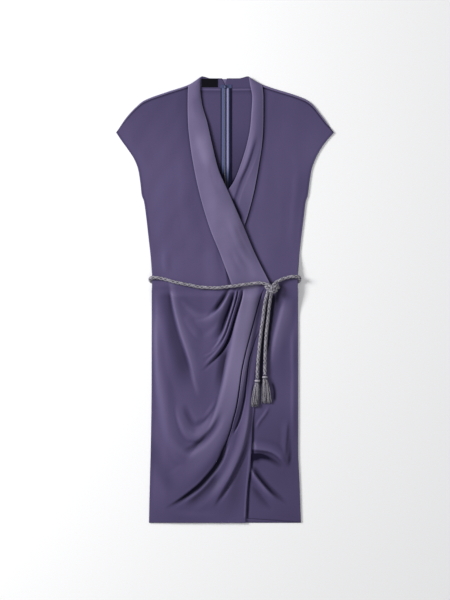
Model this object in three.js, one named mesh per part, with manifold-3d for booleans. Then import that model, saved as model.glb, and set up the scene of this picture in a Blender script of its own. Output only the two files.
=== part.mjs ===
// A wrap dress laid flat on its back, with a rope belt. Millimetres, +Z up from the surface it lies on,
// +Y towards the neck, +X towards the wearer's left. The origin is under the middle of the outline.
import * as THREE from "three";
import { mergeVertices } from "three/addons/utils/BufferGeometryUtils.js";
import Module from "manifold-3d";

const wasm = await Module();
wasm.setup();

// Cloth and how it is layered.
const CLOTH = 1.2; // thickness of a cloth wall
const GAP = 0.3; // between pieces that are sewn together or lie on each other
const LAYER = CLOTH + GAP;
const HEM = -513; // level of the skirt's hem
const TIP = 384; // level of the cap sleeves' tips
const SHOULDER_STRIP = 4.6; // how far the back is turned forward over the shoulder edge
const SHOULDER_GAP = 1; // between that turned strip and the front
const UNDER_EDGE = -100; // hidden edge of the skirt's under front

// The rope belt: its back stretch lies under the dress, which rises over it in a long low swell.
const ROPE = 8;
const BACK_BELT = 38;
const SWELL = ROPE + 0.8;
const SWELL_REACH = 80;
const FRONT_SWELL = 1.04; // the fronts rise a little more than the back does

// The concealed zip, on the inside of the centre-back seam.
const ZIP_X = 1;
const ZIP_TOP = 494;
const ZIP_FOOT = -55;
const CHAIN = 4.4;
const CHAIN_HEIGHT = 2.2;
const CHAIN_TOP = 484;
const TAPE = 1;
const TAPE_EDGES = { left: -9.9, right: 15.4 };
const ZIP_RISE = 2.8; // how far the layers above are lifted by the zip

// How far the turned edge of a lapel stands off the front it lies on.
const LAPEL_ROLL = 2.6;
const LAPEL_CLEAR = 0.4; // the lapels' extra clearance over the front they lie on

// The outline: a row for each section across the dress.
const SIDES = [
  { y: 384, left: -250, right: 250 },
  { y: 366, left: -238, right: 234 },
  { y: 346, left: -223.5, right: 219.5 },
  { y: 322, left: -208, right: 207 },
  { y: 298, left: -199, right: 198.5 },
  { y: 270, left: -194.5, right: 194 },
  { y: 240, left: -191, right: 190 },
  { y: 226, left: -186, right: 185.5 },
  { y: 195, left: -181.5, right: 181.5 },
  { y: 147, left: -176, right: 175.5 },
  { y: 102, left: -171, right: 170.7 },
  { y: 66, left: -168, right: 168 },
  { y: 55, left: -163, right: 162 },
  { y: 34, left: -163, right: 162 },
  { y: 18, left: -168, right: 167.5 },
  { y: -208, left: -168.5, right: 168 },
  { y: -346, left: -170.5, right: 168 },
  { y: -420, left: -172.5, right: 171 },
  { y: HEM, left: -174.5, right: 174.3 },
];

// The shoulder edges, from the cap tips to the neck.
const SHOULDER_LEFT = [
  { x: -250, y: 384 },
  { x: -225.5, y: 419.8 },
  { x: -200.6, y: 446 },
  { x: -185.8, y: 457.5 },
  { x: -133.4, y: 477 },
  { x: -80.7, y: 495 },
  { x: -53, y: 513.4 },
];
const SHOULDER_RIGHT = [
  { x: 250, y: 384 },
  { x: 231.4, y: 409.9 },
  { x: 218, y: 427.8 },
  { x: 202, y: 447.6 },
  { x: 188.4, y: 458.4 },
  { x: 172.3, y: 465.8 },
  { x: 84.9, y: 494.7 },
  { x: 51, y: 513 },
];

// The seam under the stand collar, straight between its points and the same on both sides.
const NECK_SEAM = [
  { x: 0, y: 485 },
  { x: 58, y: 485.4 },
  { x: 71, y: 488.6 },
  { x: 84, y: 494.5 },
];

// The waist seam, which the rope in front covers.
const WAIST = [
  { x: -170, y: 51 },
  { x: -144, y: 48 },
  { x: -111, y: 39.3 },
  { x: -92, y: 35.4 },
  { x: -58, y: 28.5 },
  { x: -19, y: 26.7 },
  { x: 23, y: 31.3 },
  { x: 53, y: 35.4 },
  { x: 80, y: 38 },
  { x: 106, y: 37 },
  { x: 120, y: 41.4 },
  { x: 133, y: 47.8 },
  { x: 170, y: 52 },
];

// The lapels: the turned neck edge and the loose outer edge at each level.
const LAPEL_OVER = [
  { y: 513, inner: -55, outer: -58 },
  { y: 492, inner: -57, outer: -83.5 },
  { y: 480, inner: -57, outer: -85 },
  { y: 446, inner: -53, outer: -85.5 },
  { y: 406, inner: -41.5, outer: -84.6 },
  { y: 360, inner: -31, outer: -80 },
  { y: 298, inner: -15, outer: -70 },
  { y: 249, inner: 6.7, outer: -59.5 },
  { y: 167, inner: 42.5, outer: -35.5 },
  { y: 101, inner: 70.4, outer: -9 },
  { y: 26, inner: 107, outer: 20 },
];
const LAPEL_UNDER = [
  { y: 513, inner: 54, outer: 57 },
  { y: 492, inner: 58, outer: 85 },
  { y: 462, inner: 63, outer: 88 },
  { y: 426, inner: 61, outer: 88 },
  { y: 396, inner: 58.5, outer: 87.5 },
  { y: 354, inner: 50, outer: 84.5 },
  { y: 312, inner: 37, outer: 78 },
  { y: 272, inner: 21, outer: 71 },
  { y: 249, inner: 6.4, outer: 66.5 },
  { y: 200, inner: -18, outer: 54 },
  { y: 140, inner: -48, outer: 33 },
  { y: 26, inner: -92, outer: -10 },
];

// The free front edge of the over skirt, and the hem of the under skirt, which runs a little higher.
const FREE_EDGE = [
  { y: 50, x: 107 },
  { y: -1, x: 101 },
  { y: -47, x: 92 },
  { y: -104, x: 85 },
  { y: -162, x: 78 },
  { y: -213, x: 72 },
  { y: -252, x: 67 },
  { y: -298, x: 62 },
  { y: -346, x: 60 },
  { y: -387, x: 57 },
  { y: -425, x: 52 },
  { y: -499, x: 47 },
  { y: HEM, x: 46.7 },
];
const UNDER_HEM = [
  { x: UNDER_EDGE, y: -500 },
  { x: 48, y: -503 },
  { x: 174.3, y: -511.5 },
];

// The large folds of the over skirt. A fold's crest follows its route; rise is its height, below 0 in a
// trough, and left and right are its reach to each side: right is +X of a fold that runs down, and above
// one that runs to +X. start and end are the shares of its length over which it rises and dies away, and
// spread is how many times wider it is where it ends.
const OVER_FOLDS = [
  { rise: 6.5, left: 21, right: 24, start: 0.08, end: 0.38, spread: 1.5,
    route: [[55, 27], [46, -38], [34, -98], [22, -167], [0, -254], [-39, -339], [-97, -401],
      [-143, -438]] },
  { rise: 2.5, left: 26, right: 30, start: 0.2, end: 0.3, spread: 1.2,
    route: [[-150, 17], [-143, -81], [-124, -173], [-115, -213]] },
  { rise: 2.4, left: 11, right: 34, start: 0.1, end: 0.35, spread: 1.3,
    route: [[-121, 27], [-105, -56], [-74, -153], [-58, -208]] },
  { rise: 5.5, left: 8, right: 20, start: 0.1, end: 0.6, spread: 1.6,
    route: [[15, 29], [7, 6], [-5, -15], [-21, -32], [-39, -45], [-85, -49]] },
  { rise: 2.2, left: 14, right: 20, start: 0.3, end: 0.3, spread: 1,
    route: [[-99, -29], [-75, -68], [-46, -88]] },
  { rise: 6.5, left: 7, right: 7, start: 0.1, end: 0.45, spread: 1.5,
    route: [[27, 29], [15, -23], [0, -70], [-19, -109], [-44, -134], [-65, -150]] },
  { rise: 4, left: 18, right: 26, start: 0.25, end: 0.4, spread: 1.4,
    route: [[-164, 11], [-153, -139], [-139, -242], [-126, -309], [-97, -364], [-58, -355],
      [-21, -314], [-5, -286]] },
  { rise: 4.5, left: 12, right: 26, start: 0.3, end: 0.4, spread: 1,
    route: [[-113, -231], [-99, -286], [-76, -318], [-47, -307], [-21, -273], [0, -224]] },
  { rise: 5.5, left: 19, right: 11, start: 0.45, end: 0.3, spread: 1.3,
    route: [[60, -173], [52, -277], [38, -344], [16, -397], [-13, -443], [-42, -489]] },
  { rise: -5, left: 34, right: 9, start: 0.1, end: 0.4, spread: 1.2,
    route: [[-131, 31], [-125, -3], [-107, -81], [-85, -149], [-62, -231]] },
  { rise: -4, left: 14, right: 6, start: 0.08, end: 0.4, spread: 1,
    route: [[10, 27], [-9, -9], [-37, -33]] },
  { rise: -4.5, left: 16, right: 6, start: 0.08, end: 0.4, spread: 1,
    route: [[23, 22], [10, -26], [-6, -70], [-32, -98]] },
  { rise: -9, left: 7, right: 8, start: 0.05, end: 0.35, spread: 1.4,
    route: [[41, 27], [27, -29], [12, -81], [-6, -116], [-31, -144], [-60, -170]] },
  { rise: -9, left: 6, right: 7, start: 0.05, end: 0.2, spread: 1.4,
    route: [[89, 27], [64, -58], [48, -125], [30, -226], [12, -300], [-12, -364], [-58, -424]] },
  { rise: -10, left: 8, right: 18, start: 0.2, end: 0.45, spread: 1.2,
    route: [[8, -318], [-13, -367], [-43, -408], [-97, -455], [-143, -484]] },
  { rise: -3.5, left: 16, right: 12, start: 0.35, end: 0.35, spread: 1,
    route: [[-101, -357], [-69, -337], [-38, -311], [-3, -245]] },
];

// The large folds of the under skirt, in the same form.
const UNDER_FOLDS = [
  { rise: 4, left: 13, right: 34, start: 0.2, end: 0.45, spread: 1,
    route: [[142, 13], [125, -65], [111, -134], [108, -185]] },
  { rise: 6.5, left: 8, right: 26, start: 0.12, end: 0.3, spread: 1,
    route: [[64, -344], [92, -347], [108, -351], [122, -359], [135, -372], [146, -387]] },
  { rise: 5.5, left: 14, right: 9, start: 0.12, end: 0.45, spread: 1.3,
    route: [[64, -398], [73, -410], [89, -430], [108, -451], [129, -472]] },
  { rise: 2.4, left: 18, right: 9, start: 0.3, end: 0.25, spread: 1,
    route: [[144, -272], [139, -344], [141, -374]] },
];

// Routes of the rope, chosen by hand: round the waist from the knot and back to it, then the two ends.
const WAIST_ROUTE = [
  [99.5, 33.6, 22.6], [91, 36.4, 22.4], [80, 38.2, 22.4], [66, 37, 22.4], [53, 35.4, 22.8], [38, 33.5, 23.6],
  [23, 31.3, 24.4], [2, 29, 23.4], [-19, 26.7, 22.4], [-38, 27.4, 21.4], [-58, 28.5, 20.4],
  [-75, 32, 20.2], [-92, 35.4, 20], [-111, 39.3, 19.4], [-129, 44, 18.2], [-144, 48, 17],
  [-154, 49.8, 16.7], [-162, 50.4, 16.2], [-168.2, 49.6, 13.6], [-170.3, 46.4, 9.8], [-169.4, 42.6, 6.6],
  [-165, 39.6, 4.4], [-156, 38.2, 4.1],
  [-120, BACK_BELT, 4.1], [-60, BACK_BELT, 4.1], [0, BACK_BELT, 4.1], [60, BACK_BELT, 4.1],
  [120, BACK_BELT, 4.1], [155, 38.2, 4.1], [164, 39.8, 4.4], [168.2, 43, 6.6], [169.2, 47, 9.8],
  [167.2, 51, 13.2], [161.5, 52.6, 16], [153, 52.6, 16.3], [145, 50.8, 16], [133, 47.6, 16.4],
  [124.6, 43.4, 17.8],
];
const END_LEFT_ROUTE = [
  [96.4, 12, 19.8], [94.7, 6, 18.6], [93.2, 0, 17.2], [92, -6, 15.8], [91, -12, 14.6],
  [89.4, -24, 12.2], [88, -36, 10.8], [86.6, -48, 9.8], [84, -65, 9.4], [82, -82, 9.2],
  [80.1, -99, 9.2], [78.4, -116, 9.2], [76, -140, 9.3], [74.6, -162, 9.6], [74.2, -181.6, 10.2],
];
const END_RIGHT_ROUTE = [
  [105.4, 11, 18.8], [104.3, 4.5, 17.2], [103.4, -2, 15.6], [102.6, -7, 14.1], [102, -12, 12.6],
  [100.6, -24, 9.8], [99.4, -36, 8.4], [98.4, -48, 7.7], [96.4, -65, 7.5], [94.6, -82, 7.5],
  [93.6, -99, 7.6], [92.8, -116, 7.8], [92.3, -131, 7.7], [92, -150, 7.6], [91.8, -173.4, 7.9],
];

// The knot's strands: on from the belt's two ends, the two wraps over them, and the two free ends' heads.
const KNOT_STRANDS = [
  [[99.9, 33.4, 22.6], [102, 32.7, 22.7], [105, 30.8, 22.8], [108.5, 27.5, 22]],
  [[124, 43.1, 17.9], [121.5, 41.8, 18.4], [117, 37.5, 21.2], [112, 32.5, 23.8], [106.5, 28, 25],
    [102, 25.5, 22.5]],
  [[94, 25.6, 20.5], [97.2, 24.6, 24.4], [103, 21.6, 27.4], [110, 18.6, 27.4], [116, 16.5, 24],
    [118, 16, 20.5]],
  [[125.5, 31, 19.5], [121.5, 29, 23.4], [115.5, 25, 25.6], [109, 22, 24]],
  [[96.55, 12.5, 19.9], [97.2, 15, 20.45], [99, 18.5, 21], [102, 22, 21.5]],
  [[105.5, 11.5, 18.9], [105.9, 14, 19.5], [107, 17.5, 20.2], [108, 21, 20.5]],
];
const KNOT_CORE = { x: 107.5, y: 25, z: 21.5, long: 11, wide: 7.5, high: 5 };

// The tassels: where the rope runs into the cap, and how far the strands fan out.
const CAP_LENGTH = 7;
const CAP_WIDTH = 12;
const CAP_TAPER = 0.6;
const CAP_DEPTH = 0.8; // the cap's height as a share of its width
const TASSELS = [
  { name: "tassel_left", x: 74.2, y: -182, z: 10.2, foot: -243,
    left: 59.5, leftZ: 9.8, right: 77, rightZ: 6.8 },
  { name: "tassel_right", x: 91.8, y: -173.8, z: 7.9, foot: -236,
    left: 83, leftZ: 6.3, right: 106.5, rightZ: 6.3 },
];
const STRAND_COLUMNS = 9;
const STRAND_LAYERS = 3;
const STRAND_ROOT = 0.85;
const STRAND_TIP = 1.5;
const LAYER_STEP = { root: 1.7, tip: 2.3 }; // between a tassel's layers of strands
const ROOT_INSET = 1.5; // between the cap's rim and the outermost strand
const UNEVEN = 2.5; // how much the strands differ in length

const cloth = () =>
  new THREE.MeshStandardMaterial({ color: 0x5c5879, roughness: 0.55, side: THREE.DoubleSide });
const cord = () => new THREE.MeshStandardMaterial({ color: 0x6d6a78, roughness: 0.85 });
const tape = () => new THREE.MeshStandardMaterial({ color: 0x3f4566, roughness: 0.8 });
const coil = () => new THREE.MeshStandardMaterial({ color: 0x33384f, roughness: 0.5 });
const labelCloth = () => new THREE.MeshStandardMaterial({ color: 0x0b0b14, roughness: 0.6 });

const dress = new THREE.Group();

function add(name, geometry, material) {
  const mesh = new THREE.Mesh(geometry, material);
  mesh.name = name;
  dress.add(mesh);
}

const { lerp } = THREE.MathUtils;
const step = (low, high, value) => THREE.MathUtils.smoothstep(value, low, high);

// A smooth value through a table's rows with no overshoot: a monotone cubic from one column to another.
function through(table, from, to) {
  const rows = [...table].sort((a, b) => a[from] - b[from]);
  const at = rows.map((row) => row[from]);
  const value = rows.map((row) => row[to]);
  const slope = at.slice(1).map((x, i) => (value[i + 1] - value[i]) / (x - at[i]));
  const tangent = at.map((x, i) => {
    if (i === 0) return slope[0];
    if (i === slope.length) return slope[i - 1];
    if (slope[i - 1] * slope[i] <= 0) return 0;
    return 2 / (1 / slope[i - 1] + 1 / slope[i]);
  });
  return (x) => {
    const i = Math.max(0, Math.min(at.length - 2, at.findIndex((a) => a > x) - 1));
    const last = x >= at[at.length - 1] ? at.length - 2 : i;
    const width = at[last + 1] - at[last];
    const t = Math.max(0, Math.min(1, (x - at[last]) / width));
    const rise = t * t * (3 - 2 * t);
    return (
      value[last] * (1 - rise) +
      value[last + 1] * rise +
      width * tangent[last] * t * (1 - t) * (1 - t) -
      width * tangent[last + 1] * t * t * (1 - t)
    );
  };
}

const sideLeft = through(SIDES, "y", "left");
const sideRight = through(SIDES, "y", "right");
const shoulderLeft = through(SHOULDER_LEFT, "x", "y");
const shoulderRight = through(SHOULDER_RIGHT, "x", "y");
const waist = through(WAIST, "x", "y");
const overInner = through(LAPEL_OVER, "y", "inner");
const overOuter = through(LAPEL_OVER, "y", "outer");
const underInner = through(LAPEL_UNDER, "y", "inner");
const underOuter = through(LAPEL_UNDER, "y", "outer");
const freeEdge = through(FREE_EDGE, "y", "x");
const underHem = through(UNDER_HEM, "x", "y");

// Folds: how high they lift the cloth at a place. Near ridges blend by a soft maximum, and troughs
// are taken off them.
const FOLD_STEPS = 30;
const FOLD_BLEND = 3;

function foldField(folds) {
  const traced = folds.map((fold) => {
    const curve = new THREE.CatmullRomCurve3(fold.route.map(([x, y]) => new THREE.Vector3(x, y, 0)));
    return { ...fold, points: curve.getSpacedPoints(FOLD_STEPS) };
  });
  return (x, y) => {
    const heights = traced.map((fold) => foldHeight(fold, x, y));
    const ridges = heights.filter((height) => height > 0);
    const troughs = heights.filter((height) => height < 0);
    const crest = ridges.reduce((sum, height) => sum + height ** FOLD_BLEND, 0) ** (1 / FOLD_BLEND);
    return troughs.reduce((sum, height) => sum + height, crest);
  };
}

function foldHeight(fold, x, y) {
  let nearest = Infinity;
  let along = 0;
  let side = 0;
  for (let i = 0; i < FOLD_STEPS; i++) {
    const a = fold.points[i];
    const b = fold.points[i + 1];
    const dx = b.x - a.x;
    const dy = b.y - a.y;
    const t = Math.max(0, Math.min(1, ((x - a.x) * dx + (y - a.y) * dy) / (dx * dx + dy * dy)));
    const distance = Math.hypot(x - a.x - t * dx, y - a.y - t * dy);
    if (distance < nearest) {
      nearest = distance;
      along = (i + t) / FOLD_STEPS;
      side = dx * (y - a.y) - dy * (x - a.x);
    }
  }
  const reach = (side > 0 ? fold.right : fold.left) * lerp(1, fold.spread, along);
  if (nearest >= reach) return 0;
  const across = (1 + Math.cos((Math.PI * nearest) / reach)) / 2;
  return fold.rise * across * step(0, fold.start, along) * (1 - step(1 - fold.end, 1, along));
}

const overFolds = foldField(OVER_FOLDS);
const underFolds = foldField(UNDER_FOLDS);

// Heights of the layers, from the surface up.
const swell = (y) => {
  const t = Math.min(1, Math.abs(y - BACK_BELT) / SWELL_REACH);
  return (SWELL * (1 + Math.cos(Math.PI * t))) / 2;
};
const ZIP_SLOPE = { from: 18, to: 55, footFrom: -115, footTo: -62 }; // where that lift dies away
const zipRise = (x, y) => {
  const beside = 1 - step(ZIP_SLOPE.from, ZIP_SLOPE.to, Math.abs(x - ZIP_X));
  return ZIP_RISE * beside * step(ZIP_SLOPE.footFrom, ZIP_SLOPE.footTo, y);
};
const backLow = (x, y) => swell(y);
const frontLow = (x, y) => FRONT_SWELL * swell(y) + LAYER + zipRise(x, y);
const LAP_FROM = -163; // the over front rises between these two onto the hidden under front
const LAP_TO = -95;
const lapping = (x) => step(LAP_FROM, LAP_TO, x);
const BODICE_LAP = { from: 255, to: 330 }; // the levels over which the two bodices part
const bodiceOverLow = (x, y) =>
  frontLow(x, y) + 2 * (LAYER + LAPEL_CLEAR) * lapping(x) * (1 - step(BODICE_LAP.from, BODICE_LAP.to, y));
const ROLL_LEAN = 0.7; // the roll's crest lies nearer the turned neck edge
const OVER_ROLL = { from: 40, to: 110 }; // the levels over which each roll begins
const UNDER_ROLL = { from: 262, to: 320 };
const lapelRoll = (share) => LAPEL_ROLL * Math.sin(Math.PI * Math.min(1, Math.max(0, share)) ** ROLL_LEAN);
const rollOver = (x, y) => {
  const share = (overInner(y) - x) / (overInner(y) - overOuter(y));
  return lapelRoll(share) * step(OVER_ROLL.from, OVER_ROLL.to, y);
};
const rollUnder = (x, y) => {
  const share = (x - underInner(y)) / (underOuter(y) - underInner(y));
  return lapelRoll(share) * step(UNDER_ROLL.from, UNDER_ROLL.to, y);
};
const NECK_DROP = { from: 487, to: 500 }; // where the lapels sink to the collar's level
const neckDrop = (y) => LAYER * step(NECK_DROP.from, NECK_DROP.to, y);
const lapelOverLow = (x, y) => bodiceOverLow(x, y) + LAYER + LAPEL_CLEAR - neckDrop(y) + rollOver(x, y);
const lapelUnderLow = (x, y) => frontLow(x, y) + LAYER + LAPEL_CLEAR - neckDrop(y) + rollUnder(x, y);
const SEWN = 14; // the folds die away this far from a side seam
const sewn = (x, y) => step(0, SEWN, x - sideLeft(y)) * step(0, SEWN, sideRight(y) - x);
const skirtUnderLow = (x, y) => frontLow(x, y) + underFolds(x, y) * sewn(x, y);
const CALM = { from: 2, to: 26 }; // the folds die away here below the waist seam
// The draped cloth stands off what is below it, less and less towards the side seam, the edge and the hem.
const LOFT = { rise: 5, side: 40, edgeFrom: 8, edgeTo: 45, hem: -440 };
const loft = (x, y) => {
  const inside = step(0, LOFT.side, x - sideLeft(y)) * step(LOFT.edgeFrom, LOFT.edgeTo, freeEdge(y) - x);
  return LOFT.rise * inside * step(HEM, LOFT.hem, y);
};
const SKIRT_LAP = { from: -60, to: 20 }; // near the waist the over skirt also lies over the under lapel
const skirtOverLow = (x, y) => {
  const lapped = (LAYER + LAPEL_CLEAR) * lapping(x) * (1 + step(SKIRT_LAP.from, SKIRT_LAP.to, y));
  const folds = Math.max(0, loft(x, y) + overFolds(x, y)) * (1 - step(CALM.from, CALM.to, y));
  return frontLow(x, y) + lapped + folds * sewn(x, y);
};

// A closed wall between an under side and an upper side, both grids of points [row][column]. Points
// that fall together are one vertex, so an edge may close to a point.
function wall(under, upper) {
  const positions = [];
  const indices = [];
  const known = new Map();
  const vertex = (point) => {
    const key = point.map((value) => value.toFixed(3)).join();
    if (!known.has(key)) {
      known.set(key, positions.length / 3);
      positions.push(...point);
    }
    return known.get(key);
  };
  const triangle = (a, b, c) => {
    const [i, j, k] = [vertex(a), vertex(b), vertex(c)];
    if (i !== j && j !== k && k !== i) indices.push(i, j, k);
  };
  const quad = (a, b, c, d) => {
    triangle(a, b, c);
    triangle(a, c, d);
  };
  const rows = under.length - 1;
  const columns = under[0].length - 1;
  for (let r = 0; r < rows; r++) {
    for (let c = 0; c < columns; c++) {
      quad(upper[r][c], upper[r][c + 1], upper[r + 1][c + 1], upper[r + 1][c]);
      quad(under[r][c], under[r + 1][c], under[r + 1][c + 1], under[r][c + 1]);
    }
    quad(under[r][0], upper[r][0], upper[r + 1][0], under[r + 1][0]);
    quad(under[r][columns], under[r + 1][columns], upper[r + 1][columns], upper[r][columns]);
  }
  for (let c = 0; c < columns; c++) {
    quad(under[0][c], under[0][c + 1], upper[0][c + 1], upper[0][c]);
    quad(under[rows][c], upper[rows][c], upper[rows][c + 1], under[rows][c + 1]);
  }
  const geometry = new THREE.BufferGeometry();
  geometry.setAttribute("position", new THREE.Float32BufferAttribute(positions, 3));
  geometry.setIndex(indices);
  geometry.computeVertexNormals();
  return geometry;
}

// The plan of a cloth piece: rows of points from a left to a right edge, given at each row's two
// levels. The rows bend to the bottom and the top edge, given at each x, and are straight between
// the two levels in straight. columns is a list of shares of the width, from 0 to 1. Returns points
// [x, y] as [row][column].
function plan({ rows, columns, left, right, bottom, top, straight }) {
  const middle = (row) => (row.left + row.right) / 2;
  const ends = [rows[0], rows[rows.length - 1]];
  const bend = (row, edge, u) => {
    const x = lerp(left(row.left), right(row.right), u);
    return edge(x) - lerp(row.left, row.right, u);
  };
  return rows.map((row) => {
    const nearBottom = 1 - THREE.MathUtils.clamp(
      (middle(row) - middle(ends[0])) / (straight[0] - middle(ends[0]) || 1), 0, 1,
    );
    const nearTop = THREE.MathUtils.clamp(
      (middle(row) - straight[1]) / (middle(ends[1]) - straight[1]), 0, 1,
    );
    return columns.map((u) => {
      const bent = nearBottom * bend(ends[0], bottom, u) + nearTop * bend(ends[1], top, u);
      return [lerp(left(row.left), right(row.right), u), lerp(row.left, row.right, u) + bent];
    });
  });
}

const even = (count) => Array.from({ length: count + 1 }, (unused, i) => i / count);

// Raises a plan into a wall from the height of its under side, with an even or a given thickness.
function raise(points, low, thickness = () => CLOTH) {
  const under = points.map((row) => row.map(([x, y]) => [x, y, low(x, y)]));
  const upper = points.map((row) => row.map(([x, y]) => [x, y, low(x, y) + thickness(x, y)]));
  return wall(under, upper);
}

// Rows from stop to stop. A stop is the row's level at both edges and the number of rows to the next.
const at = (y, steps) => ({ left: y, right: y, steps });

function rowsThrough(stops) {
  const rows = stops.slice(1).flatMap((stop, i) =>
    even(stops[i].steps).slice(1).map((share) => ({
      left: lerp(stops[i].left, stop.left, share),
      right: lerp(stops[i].right, stop.right, share),
    })),
  );
  return [stops[0], ...rows];
}

const SWELL_FOOT = BACK_BELT - SWELL_REACH;
const SWELL_HEAD = BACK_BELT + SWELL_REACH;
const SEAM_END = NECK_SEAM[NECK_SEAM.length - 1].x;

// The edge of the back above the sleeves: along the shoulder, then along the seam under the collar.
const neckSeam = (x) => {
  const far = Math.abs(x);
  const i = Math.max(1, NECK_SEAM.findIndex((row) => row.x >= far));
  const [a, b] = [NECK_SEAM[i - 1], NECK_SEAM[i]];
  return far > SEAM_END ? Infinity : lerp(a.y, b.y, (far - a.x) / (b.x - a.x));
};
const backTop = (shoulder) => (x) => Math.min(shoulder(x), neckSeam(x));

// Distances from the middle of the back's columns, where they reach the top edge.
const TIP_REACH = 250;
const BACK_COLUMNS = [TIP_REACH, 238, 221, 202, 186, 160, 134, 110, SEAM_END, 71, 58, 30, GAP / 2];

// The strip over the shoulder edge starts beside the collar and ends at the sleeve's hem.
const STRIP = { from: 80, full: 90, fade: 228, level: 246, end: 249 };
const stripDepth = (x) => SHOULDER_STRIP * (1 - step(STRIP.fade, STRIP.end, Math.abs(x)));
const stripHeight = (x) => {
  const far = Math.abs(x);
  return LAYER * step(STRIP.from, STRIP.full, far) * (1 - step(STRIP.fade, STRIP.level, far));
};

// The back is turned forward over the shoulder edge, so its wall is as high there as the front.
function backPiece(side, shoulder, sign) {
  const centre = (GAP / 2) * sign;
  const edge = backTop(shoulder);
  const isLeft = sign < 0;
  const heads = [TIP, neckSeam(0)];
  const [headLeft, headRight] = isLeft ? heads : [...heads].reverse();
  const rows = rowsThrough([
    at(HEM, 5),
    at(SWELL_FOOT - SWELL_REACH, 1),
    at(SWELL_FOOT, 16),
    at(SWELL_HEAD, 11),
    { left: headLeft, right: headRight },
  ]);
  const middle = () => centre;
  const shares = BACK_COLUMNS.map((far) => (TIP_REACH - far) / (TIP_REACH - GAP / 2));
  const flat = plan({
    rows,
    columns: isLeft ? shares : shares.map((share) => 1 - share).reverse(),
    left: isLeft ? side : middle,
    right: isLeft ? middle : side,
    bottom: () => HEM,
    top: edge,
    straight: [HEM, SWELL_HEAD],
  });
  const last = flat.pop();
  const inset = last.map(([x, y]) => [x, y - stripDepth(x)]);
  const turned = last.map(([x, y]) => [x, y - 0.9 * stripDepth(x)]);
  const under = [...flat, inset, turned, last].map((row) => row.map(([x, y]) => [x, y, backLow(x, y)]));
  const upper = [...flat, inset].map((row) => row.map(([x, y]) => [x, y, backLow(x, y) + CLOTH]));
  for (const row of [turned, last]) upper.push(row.map(([x, y]) => [x, y, CLOTH + stripHeight(x)]));
  return wall(under, upper);
}

add("back_left", backPiece(sideLeft, shoulderLeft, -1), cloth());
add("back_right", backPiece(sideRight, shoulderRight, 1), cloth());

// The stand collar's two halves, parted at the centre back in a small V at the top. up is the share of
// the collar's height, left and right are the two edges of the parting.
const COLLAR = [
  { up: 0, left: -0.15, right: 0.15 },
  { up: 0.25, left: -0.15, right: 0.15 },
  { up: 0.48, left: -0.6, right: 0.6 },
  { up: 0.75, left: -4.4, right: 3 },
  { up: 1, left: -7.4, right: 4.4 },
];
const COLLAR_FOOT = 81; // half of the collar's width at its seam
const COLLAR_HEAD = 53.5;
const COLLAR_TOP = 508.4;
const COLLAR_LIFT = 4.6; // how much higher the collar runs at its sides
const COLLAR_COLUMNS = [0, 20, 40, 58, 71, COLLAR_FOOT];

function collarHalf(sign) {
  const columns = sign < 0 ? [...COLLAR_COLUMNS].reverse() : COLLAR_COLUMNS;
  const points = COLLAR.map((row) =>
    columns.map((far) => {
      const share = far / COLLAR_FOOT;
      const centre = sign < 0 ? row.left : row.right;
      const x = lerp(centre, lerp(COLLAR_FOOT, COLLAR_HEAD, row.up) * sign, share);
      return [x, lerp(neckSeam(far) + GAP, COLLAR_TOP + COLLAR_LIFT * step(0.55, 1, share), row.up)];
    }),
  );
  return raise(points, backLow);
}

add("collar_left", collarHalf(-1), cloth());
add("collar_right", collarHalf(1), cloth());

// The front bodices, from the waist seam to the shoulder seams.
const INSET = 1.5; // how far a front's neck edge stays inside the lapel's turned edge
const shoulderSeam = (shoulder) => (x) => {
  const share = stripDepth(x) / SHOULDER_STRIP;
  return shoulder(x) - (SHOULDER_STRIP + SHOULDER_GAP) * share;
};
const aboveWaist = (x) => waist(x) + GAP;
const belowWaist = (x) => waist(x) - GAP;
const NECK_POINT = 492;
const NECK_TURN = { from: 474, in: 24 }; // near the shoulder the neck edge runs out under the lapel
const neckTurn = (y) => NECK_TURN.in * step(NECK_TURN.from, NECK_POINT, y);

const overNeck = (y) => overInner(y) - INSET - neckTurn(y);
add(
  "bodice_front_over",
  raise(
    plan({
      rows: rowsThrough([
        { left: aboveWaist(-163), right: aboveWaist(106), steps: 8 },
        at(SWELL_HEAD, 11),
        { left: TIP, right: NECK_POINT - INSET },
      ]),
      columns: even(12),
      left: sideLeft,
      right: overNeck,
      bottom: aboveWaist,
      top: shoulderSeam(shoulderLeft),
      straight: [SWELL_HEAD, SWELL_HEAD],
    }),
    bodiceOverLow,
  ),
  cloth(),
);

const underNeck = (y) => underInner(y) + INSET + neckTurn(y);
add(
  "bodice_front_under",
  raise(
    plan({
      rows: rowsThrough([
        { left: aboveWaist(-90), right: aboveWaist(162), steps: 8 },
        at(SWELL_HEAD, 11),
        { left: NECK_POINT - INSET, right: TIP },
      ]),
      columns: even(12),
      left: underNeck,
      right: sideRight,
      bottom: aboveWaist,
      top: shoulderSeam(shoulderRight),
      straight: [SWELL_HEAD, SWELL_HEAD],
    }),
    frontLow,
  ),
  cloth(),
);

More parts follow.
